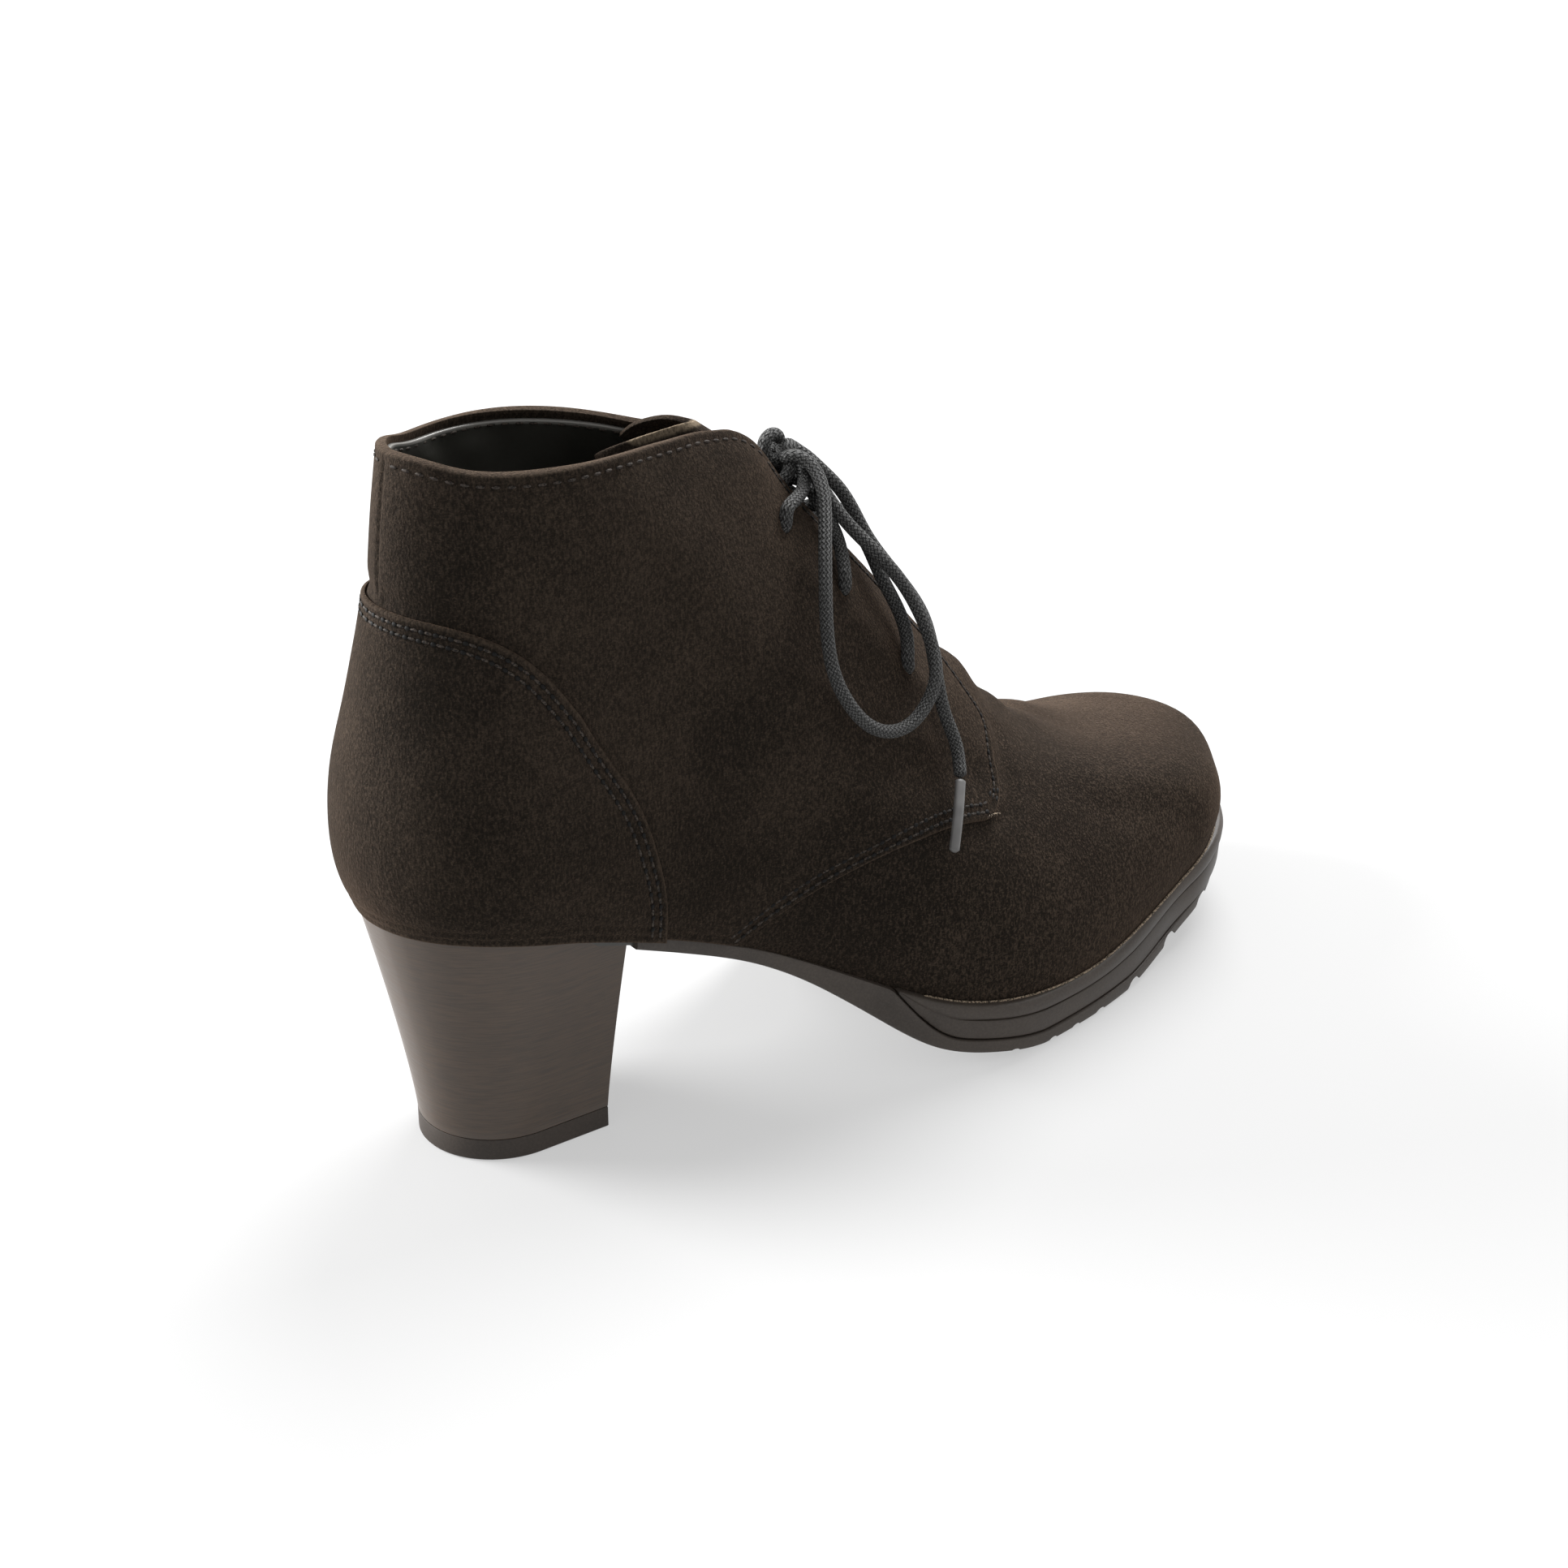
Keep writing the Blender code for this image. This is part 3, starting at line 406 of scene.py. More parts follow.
thread = threadLook("stitchThread", (0.003, 0.0025, 0.0021, 1), (0.054, 0.0425, 0.034, 1))
collarThread = threadLook("collarThread", (0.008, 0.0064, 0.0054, 1), (0.046, 0.036, 0.0295, 1))
# near-black: painted shade in the stitches' needle holes; the bar tacks are drawn in it too
holeShadeAndTacks = threadLook("holeShadeAndTacks", (0.0012, 0.001, 0.0009, 1), (0.003, 0.0025, 0.002, 1))
paleEdge = threadLook("paleEdge", (0.012, 0.009, 0.0065, 1), (0.32, 0.25, 0.18, 1))
print("materials ready")


def meshOf(name, bm):  # from the last's millimetres into the frame
    bmesh.ops.translate(bm, vec=-Vector(lastShape["middle"]), verts=bm.verts)
    bmesh.ops.scale(bm, vec=(mm, mm, mm), verts=bm.verts)
    mesh = bpy.data.meshes.new(name)
    bm.to_mesh(mesh)
    bm.free()
    return mesh


def makePiece(name, bm, material, nodes=(), sharp=None, merge=0.004):
    bmesh.ops.remove_doubles(bm, verts=bm.verts, dist=merge)
    bmesh.ops.recalc_face_normals(bm, faces=bm.faces)
    mesh = meshOf(name, bm)
    mesh.materials.append(material)
    mesh.shade_smooth()
    if sharp:
        mesh.set_sharp_from_angle(angle=math.radians(sharp))
    piece = bpy.data.objects.new(name, mesh)
    bpy.context.scene.collection.objects.link(piece)
    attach(piece, "root")
    if nodes:
        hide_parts(*nodes)
    return piece


def gridOf(bm, columns, rows):  # a flat grid and the place of each of its points, 0 to 1 both ways
    made = bmesh.ops.create_grid(bm, x_segments=columns, y_segments=rows, size=0.5)["verts"]
    return made, np.array([vert.co[:2] for vert in made]) + 0.5


def moveTo(verts, points):
    for vert, point in zip(verts, points):
        vert.co = point


# Lace
lace = {
    "radius": 1.5, "around": 18, "step": 0.55, "eyelets": ((5.88, 31.3), (6.58, 25.7), (7.15, 22.0)),
    "middleY": 0.8,
    # strands from the lateral holes, lowest first: ring share, level and lift; medial ones pass under them
    "strands": (
        ((0.8112, 5.931, 2.6), (0.831, 6.04, 3.3), (0.8761, 6.301, 3.9), (0.9005, 6.578, 4.8),
         (0.9396, 6.818, 5.4), (0.965, 6.93, 5.1), (1.0, 7.0, 4.2), (1.035, 7.02, 1.6), (1.062, 7.0, -1.4),
         (1.10, 6.9, -2.2)),
        ((0.8174, 6.621, 2.8), (0.8505, 6.766, 3.5), (0.898, 6.971, 3.9), (0.9188, 7.129, 4.3),
         (0.955, 7.25, 3.8), (1.0, 7.3, 2.9), (1.035, 7.29, 1.0), (1.062, 7.25, -1.4), (1.10, 7.15, -2.2)),
        ((0.8343, 7.235, 2.8), (0.884, 7.29, 3.6), (0.944, 7.335, 4.6), (0.98, 7.39, 5.4),
         (0.995, 7.455, 5.8), (1.0, 7.52, 5.6))),
    # how much lower the medial strands lie, and the ring shares where that starts and has ended
    "under": (2.9, 0.84, 1.06), "underDrop": 0.03, "insideLifts": (-2.2, 1.0),
    "knotLevel": 7.543, "knotRadius": 2.6, "knotClear": 0.5, "knotRise": 6.6, "knotTurns": 1.8,
    "knotShare": 0.8, "knotMiddle": 0.38, "knotPoints": 36,
    "knotTail": ((-17.3, -3.0, 138.2), (-15.6, -4.0, 140.4)),
    "loop": (
        (-16.5, -2.5, 142.9), (-14.7, -4.5, 144.2), (-12.6, -7.0, 143.1), (-11.9, -10.0, 140.5),
        (-13.3, -14.0, 136.6), (-17.0, -19.4, 131.0), (-21.3, -25.4, 122.7), (-23.7, -29.6, 112.2),
        (-23.0, -31.3, 104.3), (-19.8, -32.6, 96.8), (-14.5, -33.3, 90.6), (-8.7, -33.3, 87.9),
        (-3.5, -32.9, 88.1), (2.1, -32.0, 91.9), (5.0, -30.7, 96.4), (6.3, -28.1, 101.0),
        (5.6, -24.1, 108.6), (2.4, -19.9, 117.0), (-2.6, -16.5, 124.1), (-6.8, -13.1, 130.0),
        (-9.2, -10.0, 135.0), (-10.6, -7.1, 139.6), (-10.9, -4.9, 143.2)),
    "farLoopDrop": (4.2, 4.2, 4.2, 3.4, 1.8), "farEndShift": (0.0, 0.6, 1.2, 2.0, 2.6, 2.6, 2.6, 2.0, 1.0),
    "end": (
        (-12.5, -0.1, 144.6), (-9.3, -1.2, 142.2), (-5.8, -2.5, 138.5), (-2.1, -4.7, 133.6),
        (0.1, -6.7, 128.7), (1.6, -8.9, 124.0), (4.1, -11.8, 118.6), (7.3, -15.2, 112.8),
        (9.9, -19.5, 105.8), (9.6, -23.6, 99.0), (9.6, -26.0, 91.1), (11.4, -26.9, 82.9),
        (13.1, -28.5, 76.4), (11.3, -32.5, 70.5)),
    "aglet": ((11.2, -32.7, 70.2), (6.9, -37.4, 64.2), (3.3, -40.7, 57.5)),
    "agletRadius": 1.3, "agletFlat": 0.8, "agletTaper": 0.5,
}


def framesAlong(path):  # two directions across a path that don't twist
    along = unit(np.gradient(path, axis=0))
    across = [unit(np.cross(along[0], (0.3, 1.0, 0.2)))]
    for direction in along[1:]:
        across.append(unit(across[-1] - direction * np.dot(across[-1], direction)))
    across = np.array(across)
    return across, np.cross(along, across)


cordMerge = 0.0005  # cords are finer than panels


def cordMesh(bm, route, radius, settings, flat=1.0, taper=1.2, blunt=0.35):
    runs = runsOf(np.asarray(route, float))
    path = lineThrough(route, max(8, round(runs[-1] / settings["step"])))
    across, other = framesAlong(path)
    made, place = gridOf(bm, settings["around"], len(path) - 1)
    row = np.rint(place[:, 1] * (len(path) - 1)).astype(int)
    turn = 2 * np.pi * place[:, 0]
    run = place[:, 1] * runsOf(path)[-1]
    tip = np.clip(np.minimum(run, run.max() - run) / taper, 0, 1)
    size = radius * (blunt + (1 - blunt) * np.sqrt(1 - (1 - tip) ** 2))
    out = np.cos(turn)[:, None] * across[row] + flat * np.sin(turn)[:, None] * other[row]
    moveTo(made, path[row] + out * size[:, None])
    layer = bm.loops.layers.uv.verify()
    lookup = {vert: (a, r) for vert, a, r in zip(made, place[:, 0], run)}
    for face in {face for vert in made for face in vert.link_faces}:
        for loop in face.loops:
            loop[layer].uv = lookup[loop.vert]
    bmesh.ops.remove_doubles(bm, verts=made, dist=0.004)
    ends = [edge for edge in bm.edges if edge.is_boundary]
    bmesh.ops.holes_fill(bm, edges=ends, sides=0)
    return path


def cordPiece(name, route, nodes, settings):
    bm = bmesh.new()
    path = cordMesh(bm, route, settings["radius"], settings)
    return makePiece(name, bm, laceBraid, nodes, merge=cordMerge), path


def mirrored(route, drop=(), shift=()):  # the hidden side's copy, eased where it would show beside the knot
    route = np.array(route, float) * (1, -1, 1) + (0, 2 * lace["middleY"], 0)
    route[:len(drop), 2] -= drop
    route[:len(shift), 0] += shift
    return route


def knotPath(settings):
    seat = lastAt(1.0, settings["knotLevel"])
    along, up = lastSlopes(np.array(1.0), np.array(settings["knotLevel"]))
    outward = unit(np.cross(along, up) * (1, 0, 1))
    middle = seat + outward * (settings["knotClear"] + settings["radius"] + settings["knotRadius"])
    sideways = np.array((0.0, 1.0, 0.0))
    forward = np.cross(sideways, outward)
    share = np.linspace(0, settings["knotShare"], settings["knotPoints"])[:, None]
    turn = 2 * np.pi * settings["knotTurns"] * (share - 0.5)
    return (middle + settings["knotRadius"] * (np.cos(turn) * outward + np.sin(turn) * forward)
            + sideways * settings["knotRise"] * (share - settings["knotMiddle"]))


def strandRoute(hole, spots, side, settings):  # out of a hole, over the throat and under the other facing
    share, level, lift = np.array(spots).T
    if side > 0:
        most, begin, end = settings["under"]
        rising, ending = (share - begin) / (1 - begin), (end - share) / (end - 1)
        lift = lift - most * np.clip(rising, 0, 1) * np.clip(ending, 0, 1)
        share, level = 2 - share, level - settings["underDrop"]
    start = shareAt(hole[0], side * hole[1])
    inside = skinAt(np.full(2, start), np.full(2, hole[0]), settings["insideLifts"])
    return np.concatenate([inside, skinAt(share, level, lift)])


bars = bmesh.new()
for hole, spots in zip(lace["eyelets"], lace["strands"]):
    for side in (-1, 1):
        cordMesh(bars, strandRoute(hole, spots, side, lace), lace["radius"], lace)
makePiece("laceBars", bars, laceBraid, ("lace_bars",), merge=cordMerge)

wound = np.concatenate([lace["knotTail"], knotPath(lace)])
cordPiece("laceKnot", wound, ("lace_knot",), lace)
routes = {
    "lateral": (lace["loop"], lace["end"], lace["aglet"]),
    "medial": (mirrored(lace["loop"], lace["farLoopDrop"]), mirrored(lace["end"], (), lace["farEndShift"]),
               mirrored(lace["aglet"])),
}
for name, (loopRoute, endRoute, agletRoute) in routes.items():
    loop, loopLine = cordPiece("laceLoop_" + name, loopRoute, ("lace_loop_" + name,), lace)
    bm = bmesh.new()
    cordMesh(bm, agletRoute, lace["agletRadius"], lace, lace["agletFlat"], lace["agletTaper"])
    aglet = makePiece("aglet_" + name + "Film", bm, agletFilm, ("aglet_" + name,), merge=cordMerge)
    end, endLine = cordPiece("laceEnd_" + name, endRoute, ("lace_end_" + name,), lace)
print("lace ready")


# Panels on the last: outlines are ring shares and levels
def evenLine(line, count=240):  # even along the surface
    runs = runsOf(lastAt(*line.T))
    return between(line, runs, np.linspace(0, runs[-1], count))


def boundary(points, count=240):  # smooth through a few ring shares and levels
    points = np.asarray(points, float)
    runs = runsOf(lastAt(*points.T))
    return evenLine(naturalSpline(runs, points)(np.linspace(0, runs[-1], 6 * count)), count)


def joined(*lines):
    return evenLine(np.concatenate(lines))


def along(line, share):
    return between(line, np.linspace(0, 1, len(line)), share)


def patchBetween(low, high, left, right):  # fills the space between four outlines
    def where(a, b):
        a, b = a[:, None], b[:, None]
        sides = (1 - b) * along(low, a[:, 0]) + b * along(high, a[:, 0])
        sides += (1 - a) * along(left, b[:, 0]) + a * along(right, b[:, 0])
        lowCorners = (1 - a) * (1 - b) * low[0] + a * (1 - b) * low[-1]
        highCorners = (1 - a) * b * high[0] + a * b * high[-1]
        return (sides - lowCorners - highCorners).T
    return where


def closerAtEnds(share, even=0.15):  # finer rows at both edges
    return even * share + (1 - even) * share**2 * (3 - 2 * share)


def nearest(points, others):
    return np.concatenate([np.sqrt(((some[:, None] - others[None]) ** 2).sum(2).min(1))
                           for some in np.array_split(points, max(1, len(points) // 1500))])


def ridgeAt(points, lines):  # soft folds: each line has ring shares and levels, a width and a height
    lift = np.zeros(len(points))
    for line in lines:
        spine = lastAt(*boundary(line["at"], 40).T)
        lift += line["height"] * np.exp(-(nearest(points, spine) / line["width"]) ** 2)
    return lift


fullness = (  # where the boot is fuller or slimmer than its last: ring share, level, reach and height
    (0.99, 2.4, 22.0, 0.9), (1.12, 3.15, 15.0, -2.1), (0.93, 1.7, 12.0, -1.2), (1.0, 5.68, 7.0, 1.9),
    (1.0, 5.25, 6.0, 1.3), (1.0, 1.3, 13.0, 0.6), (1.06, 4.35, 9.0, 1.6), (1.0, 4.9, 6.0, 1.2),
    (0.0, 7.9, 10.0, -0.5), (0.0, 4.3, 24.0, -0.6), (0.0, 5.5, 12.0, -0.4), (0.0, 5.2, 30.0, -0.8),
    (0.02, 1.6, 26.0, 0.8), (0.93, 7.75, 11.0, 1.9), (1.065, 7.62, 9.0, 0.8),
)


def moreAt(points):
    return sum(height * np.exp(-(np.linalg.norm(points - lastAt(g, v), axis=-1) / reach) ** 2)
               for g, v, reach, height in fullness)


def noSway(g, v):
    return np.zeros(len(g))


panelSettings = {"edge": 0.12, "foldFade": 4.0, "farGap": 99.0}  # cut edge's thickness; folds fade towards it


# edges names those that are rounded over: a and A the left and right ones, b and B the low and high ones
def panel(columns, rows, where, outer, inner, roundness, edges="abAB", folds=(), grooves=(), sway=noSway):
    edge = panelSettings["edge"]
    bm = bmesh.new()
    layer = bm.verts.layers.float.new("edgeGap")
    for lift in (outer, inner):
        made, place = gridOf(bm, columns, rows)
        a, b = closerAtEnds(place[:, 0]), closerAtEnds(place[:, 1])
        g, v = where(a, b)
        base = lastAt(g, v)
        under = inner(v) if callable(inner) else np.full(len(a), inner)
        onEdge = np.zeros(len(a), bool)
        for mark, share, end in (("a", a, 0), ("A", a, 1), ("b", b, 0), ("B", b, 1)):
            if mark in edges:
                onEdge |= np.abs(share - end) < 1e-6
        gap = nearest(base, base[onEdge]) if onEdge.any() else np.full(len(a), panelSettings["farGap"])
        if lift is outer:
            swell = np.sqrt(1 - (1 - np.clip(gap / roundness, 0, 1)) ** 2)
            raised = under + edge + (outer - under - edge) * swell
            raised += ridgeAt(base, folds) * np.clip(gap / panelSettings["foldFade"], 0, 1)
            for at, width, depth in grooves:
                raised = raised - depth * np.exp(-((gap - at) / width) ** 2)
        else:
            raised = under
        moveTo(made, skinAt(g, v, raised + moreAt(base) + sway(g, v)))
        for vert, value in zip(made, gap):
            vert[layer] = value
    bmesh.ops.bridge_loops(bm, edges=[edge for edge in bm.edges if edge.is_boundary])
    return bm


upper = {
    "panelLift": 1.3, "counterLift": 2.3, "counterUnder": 1.4, "under": 0.15,
    "foldIn": (1.05, 7.2, 0.4),  # depth at the collar, the level where it starts and how soon it is reached
    "vamp": (0.26, 6.0, 0.06), "vampLifts": (0.0, -0.9),  # rear share, top level, depth under the foot
    "quarterGrooves": ((2.4, 0.6, 0.22),), "counterGrooves": ((2.0, 0.7, 0.3), (4.0, 0.7, 0.3)),
    "seam": ((0.3172, 0.378), (0.3374, 0.933), (0.3806, 1.776), (0.4378, 2.592), (0.5081, 3.326),
             (0.5889, 3.798), (0.6449, 3.892), (0.6728, 3.92), (0.7003, 4.086), (0.738, 4.348),
             (0.8101, 4.871), (0.8827, 5.266), (0.9187, 5.581), (0.9463, 5.97)),
    "facing": ((0.9463, 5.97), (0.943, 6.35), (0.942, 6.7), (0.941, 7.1), (0.949, 7.4), (0.960, 7.58)),
    "collarLateral": ((0.0, 7.985), (0.0247, 7.995), (0.102, 7.985), (0.184, 7.93), (0.2863, 7.94),
                      (0.4208, 8.015), (0.6278, 8.05), (0.79, 8.035), (0.85, 8.01), (0.89, 7.97),
                      (0.932, 7.905), (0.954, 7.81), (0.963, 7.70), (0.960, 7.58)),
    "collarMedial": ((0.0, 7.985), (0.07, 7.98), (0.12, 7.96), (0.2, 7.88), (0.3, 7.88), (0.4, 7.92),
                     (0.5, 7.975), (0.6, 7.995), (0.7, 7.955), (0.8, 7.855), (0.86, 7.80), (0.90, 7.75),
                     (0.935, 7.70), (0.953, 7.65), (0.960, 7.58)),
    "counter": ((0.2492, 0.385), (0.2515, 0.8), (0.2558, 1.516), (0.2583, 2.724), (0.2594, 3.831),
                (0.2531, 4.449), (0.242, 5.094)),
    "counterTop": ((0.242, 5.094), (0.2175, 5.574), (0.1884, 5.824), (0.1537, 5.948), (0.1153, 5.995),
                   (0.0468, 5.976), (0.0, 5.965)),
    # the back seam, the dent above the counter, then soft folds of the shaft and the instep
    "folds": (
        {"at": ((0.0, 6.1), (0.0, 7.0), (0.0, 7.92)), "width": 0.6, "height": -0.45},
        {"at": ((0.02, 6.1), (0.115, 6.13), (0.155, 6.09), (0.195, 5.96), (0.23, 5.68)),
         "width": 2.4, "height": -0.75},
        {"at": ((0.47, 7.7), (0.455, 7.1), (0.45, 6.5)), "width": 7.0, "height": -0.8},
        {"at": ((0.40, 5.9), (0.48, 5.55), (0.56, 5.35)), "width": 6.0, "height": -0.6},
        {"at": ((0.60, 5.9), (0.66, 5.5), (0.73, 5.25)), "width": 3.6, "height": 0.6},
        {"at": ((0.56, 5.1), (0.65, 4.8), (0.74, 4.72)), "width": 4.2, "height": -0.6},
        {"at": ((0.76, 6.75), (0.79, 6.3), (0.82, 5.6)), "width": 3.4, "height": 0.5}),
    "vampFolds": (
        {"at": ((0.665, 3.78), (0.7, 3.93), (0.745, 4.24), (0.817, 4.76), (0.89, 5.14)),
         "width": 1.7, "height": -0.65},
        {"at": ((0.80, 3.5), (0.84, 2.8), (0.875, 2.0)), "width": 6.0, "height": 0.55},
        {"at": ((0.76, 3.2), (0.79, 2.4), (0.81, 1.6)), "width": 5.0, "height": -0.45}),
    # level of the leather's foot at ring shares from the back middle to the toe
    "foot": ((0.0, 0.0), (0.05, 0.13), (0.1, 0.34), (0.15, 0.45), (0.2, 0.41), (0.25, 0.385), (0.3, 0.37),
             (0.34, 0.36), (0.38, 0.27), (0.42, 0.16), (0.46, 0.06), (0.5, -0.04), (0.535, -0.03),
             (0.575, 0.07), (0.62, 0.15), (0.67, 0.12), (0.74, 0.08), (0.82, 0.1), (0.91, 0.1), (1.0, 0.1)),
}


def otherSide(line):
    return np.asarray(line) * (-1, 1) + (2, 0)


flips = {"lateral": np.asarray, "medial": otherSide}


def upright(share, low, high, count):  # a straight outline at one ring share
    return np.stack([np.full(count, share), np.linspace(low, high, count)], axis=1)


def footLine(shares, below=0.0):  # an outline along the leather's foot
    return np.stack([shares, footLevel(shares) - below], axis=1)


def foldsOn(folds, *sides):  # the same folds on one side or both
    return [fold | {"at": flip(fold["at"])} for fold in folds for flip in sides]


def footLevel(share):
    share = np.asarray(share, float) % 2
    return footCurve(np.minimum(share, 2 - share))


footCurve = naturalSpline(*np.array(upper["foot"]).T)
seamLine = boundary(upper["seam"])
facingLine = boundary(upper["facing"], 120)
collarLines = {"lateral": boundary(upper["collarLateral"]), "medial": boundary(upper["collarMedial"])}
footShares = np.linspace(0, upper["seam"][0][0], 120)
quarterLow = joined(footLine(footShares), seamLine[1:])
backLine = upright(0.0, upper["foot"][0][1], upper["collarLateral"][0][1], 120)


def quarterUnder(v):  # the edge is folded in at the collar
    depth, start, reach = upper["foldIn"]
    return upper["under"] - depth * np.clip((v - start) / reach, 0, 1)


for name, flip in flips.items():
    where = patchBetween(flip(quarterLow), flip(collarLines[name]), flip(backLine), flip(facingLine))
    bm = panel(170, 110, where, upper["panelLift"], quarterUnder, 1.0, "AbB",
               grooves=upper["quarterGrooves"], folds=foldsOn(upper["folds"], flip))
    quarter = makePiece("quarter" + name.capitalize(), bm, suede, ("quarter_" + name,))
    print("quarter", name, len(quarter.data.polygons))

counterSide = boundary(upper["counter"], 160)
counterTop = boundary(upper["counterTop"], 160)
flipBack = np.array((-1, 1))
counterHigh = joined(counterTop * flipBack, counterTop[::-1][1:])
counterShares = np.linspace(-1, 1, 160) * upper["counter"][0][0]
where = patchBetween(footLine(counterShares), counterHigh, counterSide * flipBack, counterSide)
bm = panel(200, 90, where, upper["counterLift"], upper["counterUnder"], 0.8, grooves=upper["counterGrooves"])
makePiece("heelCounter", bm, suede, ("counter",))

rearShare, topLevel, below = upper["vamp"]
vampShares = np.linspace(rearShare, 2 - rearShare, 200)
vampLow = footLine(vampShares, below)
vampHigh = np.stack([vampShares, np.full(200, topLevel)], axis=1)
vampLeft = upright(rearShare, vampLow[0, 1], topLevel, 100)
where = patchBetween(vampLow, vampHigh, vampLeft, otherSide(vampLeft))
bm = panel(230, 110, where, *upper["vampLifts"], 0.6, "B", folds=foldsOn(upper["vampFolds"], *flips.values()))
makePiece("vamp", bm, suede, ("upper",))
print("vamp and counter ready")

liningSettings = {
    "foot": -0.05, "top": 7.93, "below": 0.09,  # levels, and how far the cut edge is below the collar
    "throat": (5.95, 0.1), "bend": (0.7, 0.3),  # where it opens, and where its rows bend to the collar
    "outer": -0.95, "inner": -1.8, "slackFrom": 0.25, "levelSize": 12.0,
    "close": (5.9, 0.4, 7.6, 0.3),  # levels between which it lies closer to the leather, each with its reach
    "folds": (  # where the lining stands off inwards
        {"at": ((1.90, 7.9), (1.885, 7.4), (1.87, 6.8)), "width": 2.6, "height": -1.3},
        {"at": ((1.75, 7.8), (1.73, 7.3), (1.72, 6.7)), "width": 4.0, "height": -1.2},
        {"at": ((1.60, 7.6), (1.59, 7.2), (1.58, 6.6)), "width": 5.0, "height": -0.8}),
}


def liningTop(share):  # level of the lining's cut edge
    share = share % 2
    lateral, medial = (np.interp(where, *collarLines[name].T)
                       for name, where in (("lateral", share), ("medial", 2 - share)))
    return np.where(share < 1, lateral, medial) - liningSettings["below"]


def liningWhere(a, b):
    foot, top = liningSettings["foot"], liningSettings["top"]
    (throat, opening), (bend, reach) = liningSettings["throat"], liningSettings["bend"]
    level = foot + (top - foot) * b
    facingShares, facingLevels = np.transpose(upper["facing"])
    front = 1 - (1 - np.interp(level, facingLevels, facingShares)) * np.clip((level - throat) / opening, 0, 1)
    share = front - (2 * front) * a  # from the lateral facing back round to the medial one
    return share, level + (liningTop(share) - top) * np.clip((b - bend) / reach, 0, 1)


def liningPanel(settings):
    bm = bmesh.new()
    layer = bm.verts.layers.float.new("edgeGap")
    low, lowReach, high, highReach = settings["close"]
    for face in ("outer", "inner"):
        made, place = gridOf(bm, 240, 80)
        g, v = liningWhere(place[:, 0], closerAtEnds(place[:, 1]))
        base, gap = lastAt(g, v), liningTop(g) - v
        if face == "outer":
            more = np.clip((v - low) / lowReach, 0, 1) * np.clip((high - v) / highReach, 0, 1)
        else:
            more = ridgeAt(base, settings["folds"]) * np.clip(gap / settings["slackFrom"], 0, 1)
        moveTo(made, skinAt(g, v, settings[face] + more + moreAt(base)))
        for vert, value in zip(made, gap * settings["levelSize"]):
            vert[layer] = value
    bmesh.ops.bridge_loops(bm, edges=[edge for edge in bm.edges if edge.is_boundary])
    return bm


liningPiece = makePiece("liningLeather", liningPanel(liningSettings), lining, ("upper",))
print("lining ready")

tongueSettings = {
    "foot": 5.5, "outer": -3.0, "inner": -4.6,
    # level of the top edge at runs from the ridge, lateral side first; that side leans into the boot
    "runs": (-25.0, -22.5, -19.0, -15.0, -10.0, -5.0, 0.0, 6.0, 12.0, 18.0, 24.0),
    "tops": (7.80, 8.01, 8.12, 8.14, 8.12, 8.08, 8.06, 8.07, 8.03, 7.955, 7.84),
    "lean": -7.0, "leanShares": (0.93, 0.11), "leanLevels": (7.2, 0.8),  # where the lean starts and its reach
    "gapShare": 0.45, "gapAcross": 0.6,
}
tongueTop = naturalSpline(tongueSettings["runs"], tongueSettings["tops"])


def tongueWhere(a, b):
    settings = tongueSettings
    run = settings["runs"][0] + (settings["runs"][-1] - settings["runs"][0]) * a
    level = settings["foot"] + (tongueTop(run) - settings["foot"]) * b
    return shareAt(level, run), level


def tongueSway(g, v):
    (share, shareReach), (level, levelReach) = tongueSettings["leanShares"], tongueSettings["leanLevels"]
    aside, above = np.clip((share - g) / shareReach, 0, 1.6), np.clip((v - level) / levelReach, 0, 1.2)
    return tongueSettings["lean"] * aside**1.5 * above**2


bm = panel(90, 90, tongueWhere, tongueSettings["outer"], tongueSettings["inner"], 0.8, sway=tongueSway)
gapLayer = bm.verts.layers.float["edgeGap"]
for vert in bm.verts:  # only the lateral half shows its pale cut edge
    across = max(0.0, vert.co.y - lace["middleY"])
    vert[gapLayer] = vert[gapLayer] * tongueSettings["gapShare"] + across * tongueSettings["gapAcross"]
makePiece("tongueLeather", bm, tongueSuede, ("tongue",))
print("tongue ready")

# Stitches: small capsules along lines set in from the panels' edges
stitch = {
    "length": 1.9, "pitch": 3.1, "width": 0.36, "height": 0.32, "merge": 0.00001,
    # how far the rows lie from the edges, and how deep they are pulled into the leather
    "counterRows": (2.0, 4.0), "seamRows": (1.7, 3.6), "flapRow": 2.4, "collarRow": 2.7, "liningRow": 2.9,
    "counterPull": 0.2, "panelPull": 0.15, "collarPull": 0.08, "liningLift": -1.85, "collarSkip": 1.5,
    "seamEnd": 0.672, "flapStart": 0.69, "overFoot": 0.12, "holeShadeLift": 0.13,
}
# near-black capsules between the stitches, lifted clear of the leather: painted shade of the needle holes
holeShadeMarks = stitch | {"length": 1.3, "width": 0.5, "height": 0.2}
lengthwise = Matrix.Rotation(math.pi / 2, 4, "Y")


def insetLine(line, inset):  # moved over the last to the left of its own direction, seen from outside
    g, v = line.T
    acrossSlope, upSlope = lastSlopes(g, v)
    run = unit(np.gradient(lastAt(g, v), axis=0))
    sideways = np.cross(unit(np.cross(acrossSlope, upSlope)), run) * inset
    aa, ab, bb = (acrossSlope**2).sum(1), (acrossSlope * upSlope).sum(1), (upSlope**2).sum(1)
    ra, rb = (acrossSlope * sideways).sum(1), (upSlope * sideways).sum(1)
    return line + np.stack([ra * bb - rb * ab, rb * aa - ra * ab], axis=1) / (aa * bb - ab**2)[:, None]


